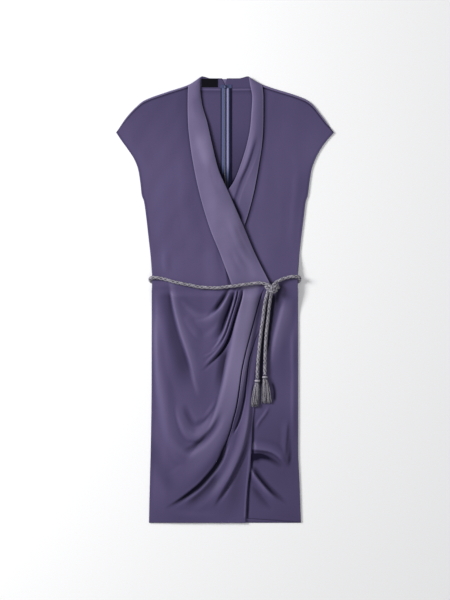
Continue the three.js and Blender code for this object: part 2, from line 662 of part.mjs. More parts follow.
// The lapels lie on the fronts and roll up a little between their two edges.
const LAPEL_TOP = { inner: 508, outer: 494 };
const LAPEL_MIDDLE = 300;
add(
  "lapel_over",
  raise(
    plan({
      rows: rowsThrough([
        { left: aboveWaist(20), right: aboveWaist(106), steps: 8 },
        at(SWELL_HEAD, 7),
        at(LAPEL_MIDDLE, 9),
        { left: LAPEL_TOP.outer, right: LAPEL_TOP.inner },
      ]),
      columns: even(6),
      left: overOuter,
      right: overInner,
      bottom: aboveWaist,
      top: shoulderLeft,
      straight: [SWELL_HEAD, LAPEL_MIDDLE],
    }),
    lapelOverLow,
  ),
  cloth(),
);
add(
  "lapel_under",
  raise(
    plan({
      rows: rowsThrough([
        { left: aboveWaist(-92), right: aboveWaist(-10), steps: 8 },
        at(SWELL_HEAD, 7),
        at(LAPEL_MIDDLE, 9),
        { left: LAPEL_TOP.inner, right: LAPEL_TOP.outer },
      ]),
      columns: even(5),
      left: underInner,
      right: underOuter,
      bottom: aboveWaist,
      top: shoulderRight,
      straight: [SWELL_HEAD, LAPEL_MIDDLE],
    }),
    lapelUnderLow,
  ),
  cloth(),
);

// Shares of a width with an even spacing from stop to stop.
function spaced(stops) {
  const shares = [stops[0].share];
  stops.slice(1).forEach((stop, i) => {
    const from = stops[i].share;
    even(stop.steps).slice(1).forEach((t) => shares.push(lerp(from, stop.share, t)));
  });
  return shares;
}

// The skirt fronts hang from the waist seam; the over skirt is draped into it with its folds. Columns
// lie closer together where the folds show and are narrow. Under the right end of the waist rope the
// under skirt keeps one wide column, as wide as the bodice's above it, so that their edges stay parted.
add(
  "skirt_front_under",
  raise(
    plan({
      rows: rowsThrough([at(HEM, 11), at(-330, 11), at(SWELL_FOOT, 9), { left: 36, right: 52 }]),
      columns: spaced([
        { share: 0 },
        { share: 0.54, steps: 7 },
        { share: 0.846, steps: 8 },
        { share: 0.923, steps: 1 },
        { share: 1, steps: 2 },
      ]),
      left: () => UNDER_EDGE,
      right: sideRight,
      bottom: underHem,
      top: belowWaist,
      straight: [-400, SWELL_FOOT],
    }),
    skirtUnderLow,
  ),
  cloth(),
);
add(
  "skirt_front_over",
  raise(
    plan({
      rows: rowsThrough([at(HEM, 28), at(SWELL_FOOT, 9), { left: 51, right: 37 }]),
      columns: spaced([{ share: 0 }, { share: 0.52, steps: 10 }, { share: 1, steps: 17 }]),
      left: sideLeft,
      right: freeEdge,
      bottom: () => HEM,
      top: belowWaist,
      straight: [HEM, SWELL_FOOT],
    }),
    skirtOverLow,
  ),
  cloth(),
);

// The zip's tapes and chain follow the inside of the back.
const zipLow = (x, y) => swell(y) + LAYER;
function zipStrip(name, left, right, top, height, material) {
  const rows = rowsThrough([at(ZIP_FOOT, 1), at(SWELL_FOOT, 16), at(SWELL_HEAD, 3), at(top)]);
  const points = rows.map((row) => [[left, row.left], [(left + right) / 2, row.left], [right, row.left]]);
  const crown = (x) => height * (Math.abs(x - (left + right) / 2) < 0.1 ? 1 : 0.8);
  add(name, raise(points, zipLow, crown), material);
}
zipStrip("zip_tape_left", TAPE_EDGES.left, ZIP_X - CHAIN / 2 - GAP, ZIP_TOP, TAPE, tape());
zipStrip("zip_tape_right", ZIP_X + CHAIN / 2 + GAP, TAPE_EDGES.right, ZIP_TOP, TAPE, tape());
zipStrip("zip_chain", ZIP_X - CHAIN / 2, ZIP_X + CHAIN / 2, CHAIN_TOP, CHAIN_HEIGHT, coil());

// The slider stands on the tapes at the top of the chain.
const SLIDER = { width: 6.4, length: 8.4, height: 2, gap: 0.4 };
const slider = new THREE.BoxGeometry(SLIDER.width, SLIDER.length, SLIDER.height);
const sliderMiddle = CHAIN_TOP + SLIDER.gap + SLIDER.length / 2;
slider.translate(ZIP_X, sliderMiddle, LAYER + TAPE + GAP + SLIDER.height / 2);
add("zip_slider", slider, coil());

// The blank label lies on the collar's left half.
const LABEL = { left: -53.6, right: -17, bottom: 488.4, top: 507.6, thickness: 1 };
const label = new THREE.BoxGeometry(LABEL.right - LABEL.left, LABEL.top - LABEL.bottom, LABEL.thickness);
label.translate((LABEL.left + LABEL.right) / 2, (LABEL.bottom + LABEL.top) / 2, LAYER + LABEL.thickness / 2);
add("label", label, labelCloth());

// A length of rope along a route.
const ROPE_SIDES = 8;
const WAIST_STEPS = 64;
const END_STEPS = 8;
const KNOT_STEPS = 6;

function rope(route, steps) {
  const points = route.map((point) => new THREE.Vector3(...point));
  const path = new THREE.CatmullRomCurve3(points, false, "centripetal");
  const section = new THREE.Shape();
  for (let i = 0; i < ROPE_SIDES; i++) {
    const angle = (2 * Math.PI * i) / ROPE_SIDES;
    const place = [(ROPE / 2) * Math.cos(angle), (ROPE / 2) * Math.sin(angle)];
    if (i === 0) section.moveTo(...place);
    else section.lineTo(...place);
  }
  section.closePath();
  return new THREE.ExtrudeGeometry(section, { extrudePath: path, steps, bevelEnabled: false });
}

add("belt_waist", rope(WAIST_ROUTE, WAIST_STEPS), cord());
add("belt_end_left", rope(END_LEFT_ROUTE, END_STEPS), cord());
add("belt_end_right", rope(END_RIGHT_ROUTE, END_STEPS), cord());

function solidOf(geometry) {
  const bare = geometry.index ? geometry.toNonIndexed() : geometry.clone();
  bare.deleteAttribute("normal");
  bare.deleteAttribute("uv");
  const merged = mergeVertices(bare, 1e-3);
  return new wasm.Manifold(
    new wasm.Mesh({
      numProp: 3,
      vertProperties: merged.attributes.position.array,
      triVerts: new Uint32Array(merged.index.array),
    }),
  );
}

function joined(geometries) {
  const solid = geometries.map(solidOf).reduce((whole, next) => whole.add(next));
  const mesh = solid.getMesh();
  const geometry = new THREE.BufferGeometry();
  geometry.setAttribute("position", new THREE.BufferAttribute(mesh.vertProperties, 3));
  geometry.setIndex(new THREE.BufferAttribute(mesh.triVerts, 1));
  geometry.computeVertexNormals();
  return geometry;
}

// The knot: the strands that go into it, fused round a flattened core.
function knot() {
  const core = new THREE.SphereGeometry(1, 10, 7);
  core.scale(KNOT_CORE.long, KNOT_CORE.wide, KNOT_CORE.high);
  core.translate(KNOT_CORE.x, KNOT_CORE.y, KNOT_CORE.z);
  return joined([core, ...KNOT_STRANDS.map((route) => rope(route, KNOT_STEPS))]);
}
add("belt_knot", knot(), cord());

// A strand of a tassel: a tapering three-sided prism from its root to its tip.
function strand(root, tip) {
  const ring = ([x, y, z], width) => [
    [x - width / 2, y, z],
    [x + width / 2, y, z],
    [x, y, z + 0.87 * width],
  ];
  const a = ring(root, STRAND_ROOT);
  const b = ring(tip, STRAND_TIP);
  const faces = [[a[0], a[2], a[1]], [b[0], b[1], b[2]]];
  for (let i = 0; i < 3; i++) {
    const j = (i + 1) % 3;
    faces.push([a[i], b[j], b[i]], [a[i], a[j], b[j]]);
  }
  const geometry = new THREE.BufferGeometry();
  geometry.setAttribute("position", new THREE.Float32BufferAttribute(faces.flat(2), 3));
  return geometry;
}

function tassel({ x, y, z, foot, left, leftZ, right, rightZ }) {
  const cap = new THREE.CylinderGeometry(CAP_WIDTH / 2, CAP_WIDTH / 2 - CAP_TAPER, CAP_LENGTH, 12);
  cap.scale(1, 1, CAP_DEPTH);
  cap.translate(x, y - CAP_LENGTH / 2, z);
  const strands = [];
  for (let layer = 0; layer < STRAND_LAYERS; layer++) {
    const depth = layer - (STRAND_LAYERS - 1) / 2;
    const count = STRAND_COLUMNS - (layer % 2);
    for (let i = 0; i < count; i++) {
      const share = (i + 0.5) / count;
      const rootX = x + (share - 0.5) * (CAP_WIDTH - 2 * ROOT_INSET);
      const rootZ = z + depth * LAYER_STEP.root - STRAND_ROOT / 2;
      const tipZ = lerp(leftZ, rightZ, share) + depth * LAYER_STEP.tip - 0.4 * STRAND_TIP;
      const tipY = foot + UNEVEN * Math.sin(5 * i + 2 * layer);
      strands.push(strand([rootX, y - CAP_LENGTH + 1, rootZ], [lerp(left, right, share), tipY, tipZ]));
    }
  }
  return joined([cap, ...strands]);
}
for (const row of TASSELS) add(row.name, tassel(row), cord());

export default dress;
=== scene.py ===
"""A wrap dress laid flat on its back, with a knotted rope belt.

The frame is the part's own: +Z up from the surface that the dress lies on, +Y towards the neck and +X
towards the wearer's left. Tables and sizes are in millimetres, as a maker measures them, and are turned
into metres where a mesh is made.
"""

import logging
from dataclasses import dataclass, field
from enum import Enum
from typing import Callable, Sequence

import bpy
import numpy as np
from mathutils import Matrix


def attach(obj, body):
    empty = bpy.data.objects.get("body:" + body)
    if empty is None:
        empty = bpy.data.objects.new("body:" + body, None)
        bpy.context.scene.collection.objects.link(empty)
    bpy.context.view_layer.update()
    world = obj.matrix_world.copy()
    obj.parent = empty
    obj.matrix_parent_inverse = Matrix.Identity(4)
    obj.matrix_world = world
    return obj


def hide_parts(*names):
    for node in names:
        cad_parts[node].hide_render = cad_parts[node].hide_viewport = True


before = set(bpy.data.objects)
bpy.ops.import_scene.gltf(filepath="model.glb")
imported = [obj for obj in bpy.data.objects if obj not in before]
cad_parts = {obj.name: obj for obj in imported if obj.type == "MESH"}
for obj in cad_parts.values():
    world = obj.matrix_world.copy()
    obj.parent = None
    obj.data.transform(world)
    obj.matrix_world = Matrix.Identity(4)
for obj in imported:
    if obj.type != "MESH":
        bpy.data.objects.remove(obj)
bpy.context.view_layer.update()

MM = 0.001
Array = np.ndarray
Edge = Callable[[Array], Array]
log = logging.getLogger("wrap_dress")


class Slot(Enum):
    """The record's material slots."""

    CLOTH = "cloth"
    ROPE = "rope"
    TAPE = "zip_tape"
    COIL = "zip_coil"
    SLIDER = "zip_slider"
    LABEL = "label"


class Profile(Enum):
    """How a fold falls away from its crest."""

    ROUND = "round"
    SHARP = "sharp"
    FLAT = "flat"


def step(low: float, high: float, value: Array) -> Array:
    """A smooth step: 0 below low, 1 above high, with the cubic 3t2 - 2t3 between them.

    Args:
        low: where the step starts.
        high: where the step ends.
        value: the places to work it out at.

    Returns:
        The step at each place.
    """
    t = np.clip((np.asarray(value, float) - low) / (high - low), 0.0, 1.0)
    return t * t * (3.0 - 2.0 * t)


@dataclass(frozen=True)
class Table:
    """Rows of sizes under named columns."""

    names: tuple[str, ...]
    rows: tuple[tuple[float, ...], ...]

    def column(self, name: str) -> Array:
        """Every row's value in one column."""
        return np.array([row[self.names.index(name)] for row in self.rows], float)

    def curve(self, start: str, end: str) -> Edge:
        """A smooth value through the rows with no overshoot.

        Between two rows it is a cubic whose tangent at a row is the harmonic mean of the slopes on both
        sides, and 0 where they differ in sign.

        Args:
            start: the column that the value is looked up by.
            end: the column that the value is taken from.

        Returns:
            A function from the first column's value to the second one's.
        """
        at, value = self.column(start), self.column(end)
        order = np.argsort(at)
        at, value = at[order], value[order]
        slope = np.diff(value) / np.diff(at)
        before, after = slope[:-1], slope[1:]
        alike = before * after > 0
        mean = 2.0 / (1.0 / np.where(alike, before, 1.0) + 1.0 / np.where(alike, after, 1.0))
        tangent = np.concatenate([slope[:1], np.where(alike, mean, 0.0), slope[-1:]])

        def value_at(place: Array) -> Array:
            """The cubic between the two rows that the place lies between.

            Args:
                place: the first column's values.

            Returns:
                The second column's values there.
            """
            i = np.clip(np.searchsorted(at, place, side="right") - 1, 0, len(at) - 2)
            width = at[i + 1] - at[i]
            t = np.clip((place - at[i]) / width, 0.0, 1.0)
            rise = t * t * (3.0 - 2.0 * t)
            level = value[i] * (1.0 - rise) + value[i + 1] * rise
            return level + width * t * (1.0 - t) * (tangent[i] * (1.0 - t) - tangent[i + 1] * t)

        return value_at


HEM = -513.0
TIP = 384.0
SIDES = Table(
    ("y", "left", "right"),
    (
        (384, -250, 250), (366, -238, 234), (346, -223.5, 219.5), (322, -208, 207), (298, -199, 198.5),
        (270, -194.5, 194), (240, -191, 190), (226, -186, 185.5), (195, -181.5, 181.5), (147, -176, 175.5),
        (102, -171, 170.7), (66, -168, 168), (55, -167.2, 166.8), (34, -167.2, 166.8), (18, -168, 167.5),
        (-208, -168.5, 168), (-346, -170.5, 168), (-420, -172.5, 171), (HEM, -174.5, 174.3),
    ),
)
SHOULDER_LEFT = Table(
    ("x", "y"),
    ((-250, 384), (-225.5, 419.8), (-200.6, 446), (-185.8, 457.5), (-133.4, 477), (-80.7, 495), (-53, 513.4)),
)
SHOULDER_RIGHT = Table(
    ("x", "y"),
    (
        (250, 384), (231.4, 409.9), (218, 427.8), (202, 447.6), (188.4, 458.4), (172.3, 465.8), (84.9, 494.7),
        (51, 513),
    ),
)
NECK_SEAM = Table(("x", "y"), ((0, 485), (58, 485.4), (71, 488.6), (84, 494.5)))
WAIST = Table(
    ("x", "y"),
    (
        (-170, 51), (-144, 48), (-111, 39.3), (-92, 35.4), (-58, 28.5), (-19, 26.7), (23, 31.3), (53, 35.4),
        (80, 38), (106, 37), (120, 41.4), (133, 47.8), (170, 52),
    ),
)
LAPEL_OVER = Table(
    ("y", "inner", "outer"),
    (
        (513, -55, -58), (492, -57, -83.5), (480, -57, -85), (446, -53, -85.5), (406, -41.5, -84.6),
        (360, -31, -80), (298, -15, -70), (249, 6.7, -59.5), (167, 42.5, -35.5), (101, 70.4, -9),
        (26, 107, 20),
    ),
)
LAPEL_UNDER = Table(
    ("y", "inner", "outer"),
    (
        (513, 54, 57), (492, 58, 85), (462, 63, 88), (426, 61, 88), (396, 58.5, 87.5), (354, 50, 84.5),
        (312, 37, 78), (272, 21, 71), (249, 6.4, 66.5), (200, -18, 54), (140, -48, 33), (26, -92, -10),
    ),
)
UNDER_EDGE = -100.0
FREE_EDGE = Table(
    ("y", "x"),
    (
        (50, 107), (-1, 101), (-47, 92), (-104, 85), (-162, 78), (-213, 72), (-252, 67), (-298, 62),
        (-346, 60), (-387, 57), (-425, 52), (-499, 47), (HEM, 46.7),
    ),
)
UNDER_HEM = Table(("x", "y"), ((UNDER_EDGE, -500), (48, -503), (174.3, -511.5)))

side_left, side_right = SIDES.curve("y", "left"), SIDES.curve("y", "right")
shoulder_left, shoulder_right = SHOULDER_LEFT.curve("x", "y"), SHOULDER_RIGHT.curve("x", "y")
waist = WAIST.curve("x", "y")
over_inner, over_outer = LAPEL_OVER.curve("y", "inner"), LAPEL_OVER.curve("y", "outer")
under_inner, under_outer = LAPEL_UNDER.curve("y", "inner"), LAPEL_UNDER.curve("y", "outer")
free_edge = FREE_EDGE.curve("y", "x")
under_hem = UNDER_HEM.curve("x", "y")


def steady(value: float) -> Edge:
    """An edge that stays at one value."""
    return lambda place: np.full(np.shape(place), value)


def smooth_route(route: Sequence[Sequence[float]], count: int) -> Array:
    """Evenly spaced points along a smooth curve through a route.

    Each stretch is a cubic whose end tangents follow the square roots of the distances between the
    route's points, and the result is spaced again by its length.

    Args:
        route: the points to pass through, in two or three dimensions.
        count: how many steps the curve is divided into.

    Returns:
        An array of count + 1 points.
    """
    given = np.array(route, float)
    points = np.vstack([2 * given[0] - given[1], given, 2 * given[-1] - given[-2]])
    gap = np.maximum(np.linalg.norm(np.diff(points, axis=0), axis=1), 1e-6)[:, None] ** 0.5
    before, here, after = gap[:-2], gap[1:-1], gap[2:]
    a, b, c, d = points[:-3], points[1:-2], points[2:-1], points[3:]
    out = ((b - a) / before - (c - a) / (before + here) + (c - b) / here) * here
    into = ((c - b) / here - (d - b) / (here + after) + (d - c) / after) * here
    t = np.linspace(0.0, 1.0, 25)[None, :, None]
    b, c, out, into = (value[:, None, :] for value in (b, c, out, into))
    curve = b + out * t + (3 * (c - b) - 2 * out - into) * t**2 + (2 * (b - c) + out + into) * t**3
    fine = np.vstack([curve[:, :-1].reshape(-1, given.shape[1]), given[-1:]])
    length = np.concatenate([[0.0], np.cumsum(np.linalg.norm(np.diff(fine, axis=0), axis=1))])
    even = np.linspace(0.0, length[-1], count + 1)
    return np.stack([np.interp(even, length, fine[:, k]) for k in range(given.shape[1])], axis=1)


def route_length(route: Sequence[Sequence[float]]) -> float:
    """The length of the smooth curve through a route, in its own unit."""
    return float(np.linalg.norm(np.diff(smooth_route(route, 200), axis=0), axis=1).sum())


@dataclass(frozen=True)
class Fold:
    """A ridge, or a trough where rise is negative, along a route.

    left and right are its reach to each side: right is +X of a fold that runs down, and above one that
    runs to +X. start and end are the shares of its length over which it rises and dies away. spread is
    how many times wider it is where it ends.
    """

    rise: float
    left: float
    right: float
    start: float
    end: float
    route: tuple[tuple[float, float], ...]
    spread: float = 1.0
    profile: Profile = Profile.ROUND
    steps: int = 36

    def height(self, x: Array, y: Array) -> Array:
        """The fold's own height: its profile across the nearest point of its route, times its ends.

        Args:
            x: places across the dress.
            y: places along the dress.

        Returns:
            The height at each place, 0 beyond the fold's reach.
        """
        points = smooth_route(self.route, self.steps)
        reach = max(self.left, self.right) * max(self.spread, 1.0)
        low, high = points.min(axis=0) - reach, points.max(axis=0) + reach
        near = (x > low[0]) & (x < high[0]) & (y > low[1]) & (y < high[1])
        result = np.zeros(x.shape)
        if not near.any():
            return result
        px, py = x[near], y[near]
        best = np.full(px.shape, np.inf)
        along = np.zeros(px.shape)
        side = np.zeros(px.shape)
        for i in range(self.steps):
            (ax, ay), (dx, dy) = points[i], points[i + 1] - points[i]
            t = np.clip(((px - ax) * dx + (py - ay) * dy) / (dx * dx + dy * dy), 0.0, 1.0)
            distance = np.hypot(px - ax - t * dx, py - ay - t * dy)
            closer = distance < best
            best = np.where(closer, distance, best)
            along = np.where(closer, (i + t) / self.steps, along)
            side = np.where(closer, dx * (py - ay) - dy * (px - ax), side)
        wide = np.where(side > 0, self.right, self.left) * (1.0 + (self.spread - 1.0) * along)
        share = np.clip(best / wide, 0.0, 1.0)
        if self.profile is Profile.SHARP:
            across = (1.0 - share) ** 1.7
        elif self.profile is Profile.FLAT:
            across = (1.0 + np.cos(np.pi * share**2.6)) / 2.0
        else:
            across = (1.0 + np.cos(np.pi * share)) / 2.0
        ends = step(0.0, self.start, along) * (1.0 - step(1.0 - self.end, 1.0, along))
        result[near] = self.rise * across * ends
        return result


def blended(folds: Sequence[Fold], x: Array, y: Array) -> Array:
    """Large folds together: the cube root of the sum of their cubes, a soft maximum."""
    return sum(fold.height(x, y) ** 3 for fold in folds) ** (1.0 / 3.0)


def summed(folds: Sequence[Fold], x: Array, y: Array) -> Array:
    """Small folds together: their plain sum."""
    return sum((fold.height(x, y) for fold in folds), np.zeros(np.shape(x)))


def ripple(x: Array, y: Array, seed: int, size: float, lengths: tuple[float, float] = (45.0, 150.0)) -> Array:
    """The slight unevenness of pressed cloth: a sum of nine plane waves with seeded directions.

    Args:
        x: places across the dress.
        y: places along the dress.
        seed: which set of waves.
        size: the height of the sum, roughly.
        lengths: the shortest and the longest wave.

    Returns:
        The height at each place.
    """
    draw = np.random.default_rng(seed)
    waves = 9
    angle, phase = draw.uniform(0, np.pi, waves), draw.uniform(0, 2 * np.pi, waves)
    length = draw.uniform(*lengths, waves)
    total = np.zeros(np.shape(x))
    for a, p, w in zip(angle, phase, length):
        total = total + np.sin(2 * np.pi * (x * np.cos(a) + y * np.sin(a)) / w + p)
    return size * total / 3.0


@dataclass(frozen=True)
class Layers:
    """The heights of the cloth layers, from the surface up, in the part's own form."""

    cloth: float = 1.2
    gap: float = 0.3
    belt: float = 38.0
    swell_rise: float = 8.8
    swell_reach: float = 80.0
    front_swell: float = 1.04
    zip_x: float = 1.0
    zip_rise: float = 2.8
    clear: float = 0.4
    roll: float = 2.6

    @property
    def layer(self) -> float:
        """A cloth and the gap over it."""
        return self.cloth + self.gap

    @property
    def swell_foot(self) -> float:
        """The lower end of the swell over the back belt."""
        return self.belt - self.swell_reach

    @property
    def swell_head(self) -> float:
        """The upper end of the swell over the back belt."""
        return self.belt + self.swell_reach

    def swell(self, y: Array) -> Array:
        """Half a wave of a cosine over the rope behind the waist."""
        t = np.minimum(1.0, np.abs(y - self.belt) / self.swell_reach)
        return self.swell_rise * (1.0 + np.cos(np.pi * t)) / 2.0

    def back(self, x: Array, y: Array) -> Array:
        """Under the backs."""
        return self.swell(y) + 0.0 * x

    def inside_back(self, y: Array) -> Array:
        """On the inner face of the backs."""
        return self.swell(y) + self.layer

    def front(self, x: Array, y: Array) -> Array:
        """Under the fronts: over the backs and the zip."""
        beside = 1.0 - step(18, 55, np.abs(x - self.zip_x))
        return self.front_swell * self.swell(y) + self.layer + self.zip_rise * beside * step(-115, -62, y)

    def above_waist(self, x: Array) -> Array:
        """The lower edge of what is sewn to the waist seam from above."""
        return waist(x) + self.gap

    def below_waist(self, x: Array) -> Array:
        """The upper edge of what is sewn to the waist seam from below."""
        return waist(x) - self.gap

    def lap(self, x: Array) -> Array:
        """How far the over front has risen onto the under front."""
        return step(-163, -95, x)

    def bodice_over(self, x: Array, y: Array) -> Array:
        """Under the bodice that laps over."""
        parted = 1.0 - step(255, 330, y)
        return self.front(x, y) + 2.0 * (self.layer + self.clear) * self.lap(x) * parted

    def lapel_roll(self, share: Array) -> Array:
        """A half wave across the lapel whose crest leans to the turned neck edge."""
        return self.roll * np.sin(np.pi * np.clip(share, 0.0, 1.0) ** 0.7)

    def neck_drop(self, y: Array) -> Array:
        """How far the lapels sink beside the collar."""
        return self.layer * step(487, 500, y)

    def lapel_over(self, x: Array, y: Array) -> Array:
        """Under the lapel of the over front.

        Args:
            x: places across the dress.
            y: places along the dress.

        Returns:
            The height of the lapel's under side.
        """
        share = (over_inner(y) - x) / (over_inner(y) - over_outer(y))
        roll = self.lapel_roll(share) * step(40, 110, y)
        return self.bodice_over(x, y) + self.layer + self.clear - self.neck_drop(y) + roll

    def lapel_under(self, x: Array, y: Array) -> Array:
        """Under the lapel of the under front.

        Args:
            x: places across the dress.
            y: places along the dress.

        Returns:
            The height of the lapel's under side.
        """
        share = (x - under_inner(y)) / (under_outer(y) - under_inner(y))
        roll = self.lapel_roll(share) * step(262, 320, y)
        return self.front(x, y) + self.layer + self.clear - self.neck_drop(y) + roll

    def sewn(self, x: Array, y: Array) -> Array:
        """0 at the side seams and 1 away from them."""
        return step(0, 14, x - side_left(y)) * step(0, 14, side_right(y) - x)

    def over_ground(self, x: Array, y: Array) -> Array:
        """The lowest that the skirt's over front may lie."""
        lapped = (self.layer + self.clear) * self.lap(x) * (1.0 + step(-60, 20, y))
        return self.front(x, y) + lapped

    def calm(self, x: Array, y: Array) -> Array:
        """0 at the side seams and under the belt, where the skirt lies close, and 1 away from them."""
        return self.sewn(x, y) * (1.0 - step(6, 27, y))


LAYERS = Layers()


@dataclass
class Grid:
    """The plan of a cloth piece, as rows of points from a left edge to a right one.

    levels_left and levels_right are each row's level at both edges. The rows bend to the bottom and the
    top edge, and are straight between the two levels in straight.
    """

    levels_left: Array
    levels_right: Array
    columns: Array
    left: Edge
    right: Edge
    bottom: Edge
    top: Edge
    straight: tuple[float, float]

    def points(self) -> tuple[Array, Array]:
        """Both coordinates of each point: a plain blend of the edges, with its ends bent to the edges.

        Returns:
            The x and the y of the points, as rows by columns.
        """
        u = self.columns[None, :]
        a, b = self.levels_left[:, None], self.levels_right[:, None]
        x = self.left(a) * (1.0 - u) + self.right(b) * u
        y = a * (1.0 - u) + b * u
        middle = (a + b) / 2.0
        low = 1.0 - np.clip((middle - middle[0]) / (self.straight[0] - middle[0] + 1e-9), 0.0, 1.0)
        high = np.clip((middle - self.straight[1]) / (middle[-1] - self.straight[1]), 0.0, 1.0)
        low = np.where(self.straight[0] - middle[0] < 1e-6, (middle == middle[0]) * 1.0, low)
        bend_low = self.bottom(x[:1]) - y[:1]
        bend_high = self.top(x[-1:]) - y[-1:]
        return x, y + low * bend_low + high * bend_high


def between(*stops: tuple[float, float]) -> Array:
    """Levels from stop to stop, evenly spaced between two of them.

    Args:
        stops: a level and the spacing of the rows up to the next one, for each stop.

    Returns:
        The levels, with the last stop's own.
    """
    steps = [max(1, round(abs(b[0] - a[0]) / a[1])) for a, b in zip(stops, stops[1:])]
    runs = [np.linspace(a[0], b[0], n + 1)[:-1] for a, b, n in zip(stops, stops[1:], steps)]
    return np.concatenate([*runs, [stops[-1][0]]])


def slanted(levels: Array, start: float, left: float, right: float) -> tuple[Array, Array]:
    """The two edges' levels where the rows from start on fan out to different ends.

    Args:
        levels: the rows' levels, as if they stayed level.
        start: the level from which they fan out.
        left: the last row's level at the left edge.
        right: the last row's level at the right edge.

    Returns:
        The levels at the left edge and at the right edge.
    """
    share = np.clip((levels - start) / (levels[-1] - start), 0.0, 1.0)
    return levels + share * (left - levels[-1]), levels + share * (right - levels[-1])


def shares(count: int, edge: float = 0.0) -> Array:
    """Even shares from 0 to 1, with one more close to each end, so that an edge stays crisp."""
    even = np.linspace(0.0, 1.0, count + 1)
    return np.concatenate([[0.0, edge], even[1:-1], [1.0 - edge, 1.0]]) if edge else even


def packed(count: int, low: float, high: float, density: float, edge: float) -> Array:
    """Shares from 0 to 1 that lie closer together between two of them, with one more close to each end.

    Args:
        count: how many steps there are.
        low: where the close ones start.
        high: where they end.
        density: how many times closer they lie there.
        edge: the distance of the extra ones from the ends.

    Returns:
        The shares in order.
    """
    stretched = np.cumsum([0.0, low, (high - low) * density, 1.0 - high])
    inner = np.interp(np.linspace(0.0, stretched[-1], count + 1), stretched, (0.0, low, high, 1.0))
    return np.concatenate([[0.0, edge], inner[1:-1], [1.0 - edge, 1.0]])


@dataclass
class Shape:
    """A mesh in the making: points in millimetres, four-cornered faces, flat places and a tone."""

    points: Array
    faces: Array
    flat: Array
    tone: Array

    @staticmethod
    def joined(shapes: Sequence["Shape"]) -> "Shape":
        """Several shapes as one, each keeping its own points.

        Args:
            shapes: the shapes, in order.

        Returns:
            The shape that holds them all.
        """
        starts = np.cumsum([0] + [len(shape.points) for shape in shapes[:-1]])
        return Shape(
            np.vstack([shape.points for shape in shapes]),
            np.vstack([shape.faces + start for shape, start in zip(shapes, starts)]),
            np.vstack([shape.flat for shape in shapes]),
            np.concatenate([shape.tone for shape in shapes]),
        )

    def mesh(self, name: str) -> bpy.types.Object:
        """An object at the origin that holds the shape in metres.

        Args:
            name: the object's name.

        Returns:
            The new object, linked to the scene, shaded smooth.
        """
        data = bpy.data.meshes.new(name)
        data.vertices.add(len(self.points))
        data.vertices.foreach_set("co", (self.points * MM).astype(np.float32).ravel())
        corners = self.faces.astype(np.int32).ravel()
        data.loops.add(len(corners))
        data.loops.foreach_set("vertex_index", corners)
        data.polygons.add(len(self.faces))
        data.polygons.foreach_set("loop_start", np.arange(0, len(corners), 4, dtype=np.int32))
        data.polygons.foreach_set("use_smooth", np.ones(len(self.faces), bool))
        places = data.uv_layers.new(name="cut")
        places.data.foreach_set("uv", (self.flat[corners] * MM).astype(np.float32).ravel())
        tone = data.attributes.new("tone", "FLOAT", "POINT")
        tone.data.foreach_set("value", self.tone.astype(np.float32))
        data.update(calc_edges=True)
        data.validate()
        thing = bpy.data.objects.new(name, data)
        bpy.context.scene.collection.objects.link(thing)
        return thing


def grid_faces(rows: int, columns: int) -> Array:
    """The faces of a grid of points, seen from above with the columns to the right and the rows up.

    Args:
        rows: how many rows of points there are.
        columns: how many points a row has.

    Returns:
        Four point numbers for each face, against the clock.
    """
    r, c = np.meshgrid(np.arange(rows - 1), np.arange(columns - 1), indexing="ij")
    a = (r * columns + c).ravel()
    return np.stack([a, a + 1, a + 1 + columns, a + columns], axis=1)


def cloth_shell(x: Array, y: Array, low: Array, thickness: Array | float, tone: Array | None = None) -> Shape:
    """A closed cloth wall with a rounded edge.

    The upper face is the lower one raised by the thickness, and between them a ring at half height
    stands out a little from the edge, at a right angle to it.

    Args:
        x: places across, as rows by columns.
        y: places along.
        low: heights of the under side.
        thickness: how thick the wall is.
        tone: how much lighter, or darker where negative, the cloth's colour is made, painted light and shade
            included.

    Returns:
        The wall.
    """
    rows, columns = x.shape
    under = np.stack([x, y, low], axis=-1).reshape(-1, 3)
    upper = np.stack([x, y, low + thickness], axis=-1).reshape(-1, 3)
    index = np.arange(rows * columns).reshape(rows, columns)
    loop = np.concatenate([index[0, :-1], index[:-1, -1], index[-1, :0:-1], index[:0:-1, 0]])
    ahead = np.roll(loop, -1)
    along = upper[ahead, :2] - upper[np.roll(loop, 1), :2]
    out = np.stack([along[:, 1], -along[:, 0]], axis=1)
    out = out / np.maximum(np.linalg.norm(out, axis=1, keepdims=True), 1e-9)
    rim = (under[loop] + upper[loop]) / 2.0
    rim[:, :2] += 0.35 * out
    count = rows * columns
    ring = 2 * count + np.arange(len(loop))
    next_ring = np.roll(ring, -1)
    top = grid_faces(rows, columns)
    faces = np.vstack(
        [
            top,
            (top + count)[:, ::-1],
            np.stack([loop, ring, next_ring, ahead], axis=1),
            np.stack([ring, loop + count, ahead + count, next_ring], axis=1),
        ]
    )
    flat = np.stack([x, y], axis=-1).reshape(-1, 2)
    shade = np.zeros(count) if tone is None else np.broadcast_to(tone, x.shape).ravel()
    return Shape(
        np.vstack([upper, under, rim]),
        faces,
        np.vstack([flat, flat, flat[loop]]),
        np.concatenate([shade, shade, shade[loop]]),
    )


def above(low: Array, ground: Array, softness: float = 0.5) -> Array:
    """Keeps a height from sinking below the ground: the ground plus the soft positive part of the rest.

    The soft part is lowered near the ground, so that a height that equals the ground stays there.

    Args:
        low: the wished heights.
        ground: the heights of the ground.
        softness: how far from the ground the blend reaches, roughly.

    Returns:
        The heights, at most 0.7 times the softness below the ground.
    """
    over = np.clip((low - ground) / softness, -40.0, 40.0)
    soft = softness * np.log1p(np.exp(over))
    return ground + soft - softness * np.log(2.0) * np.exp(-np.maximum(over, 0.0))


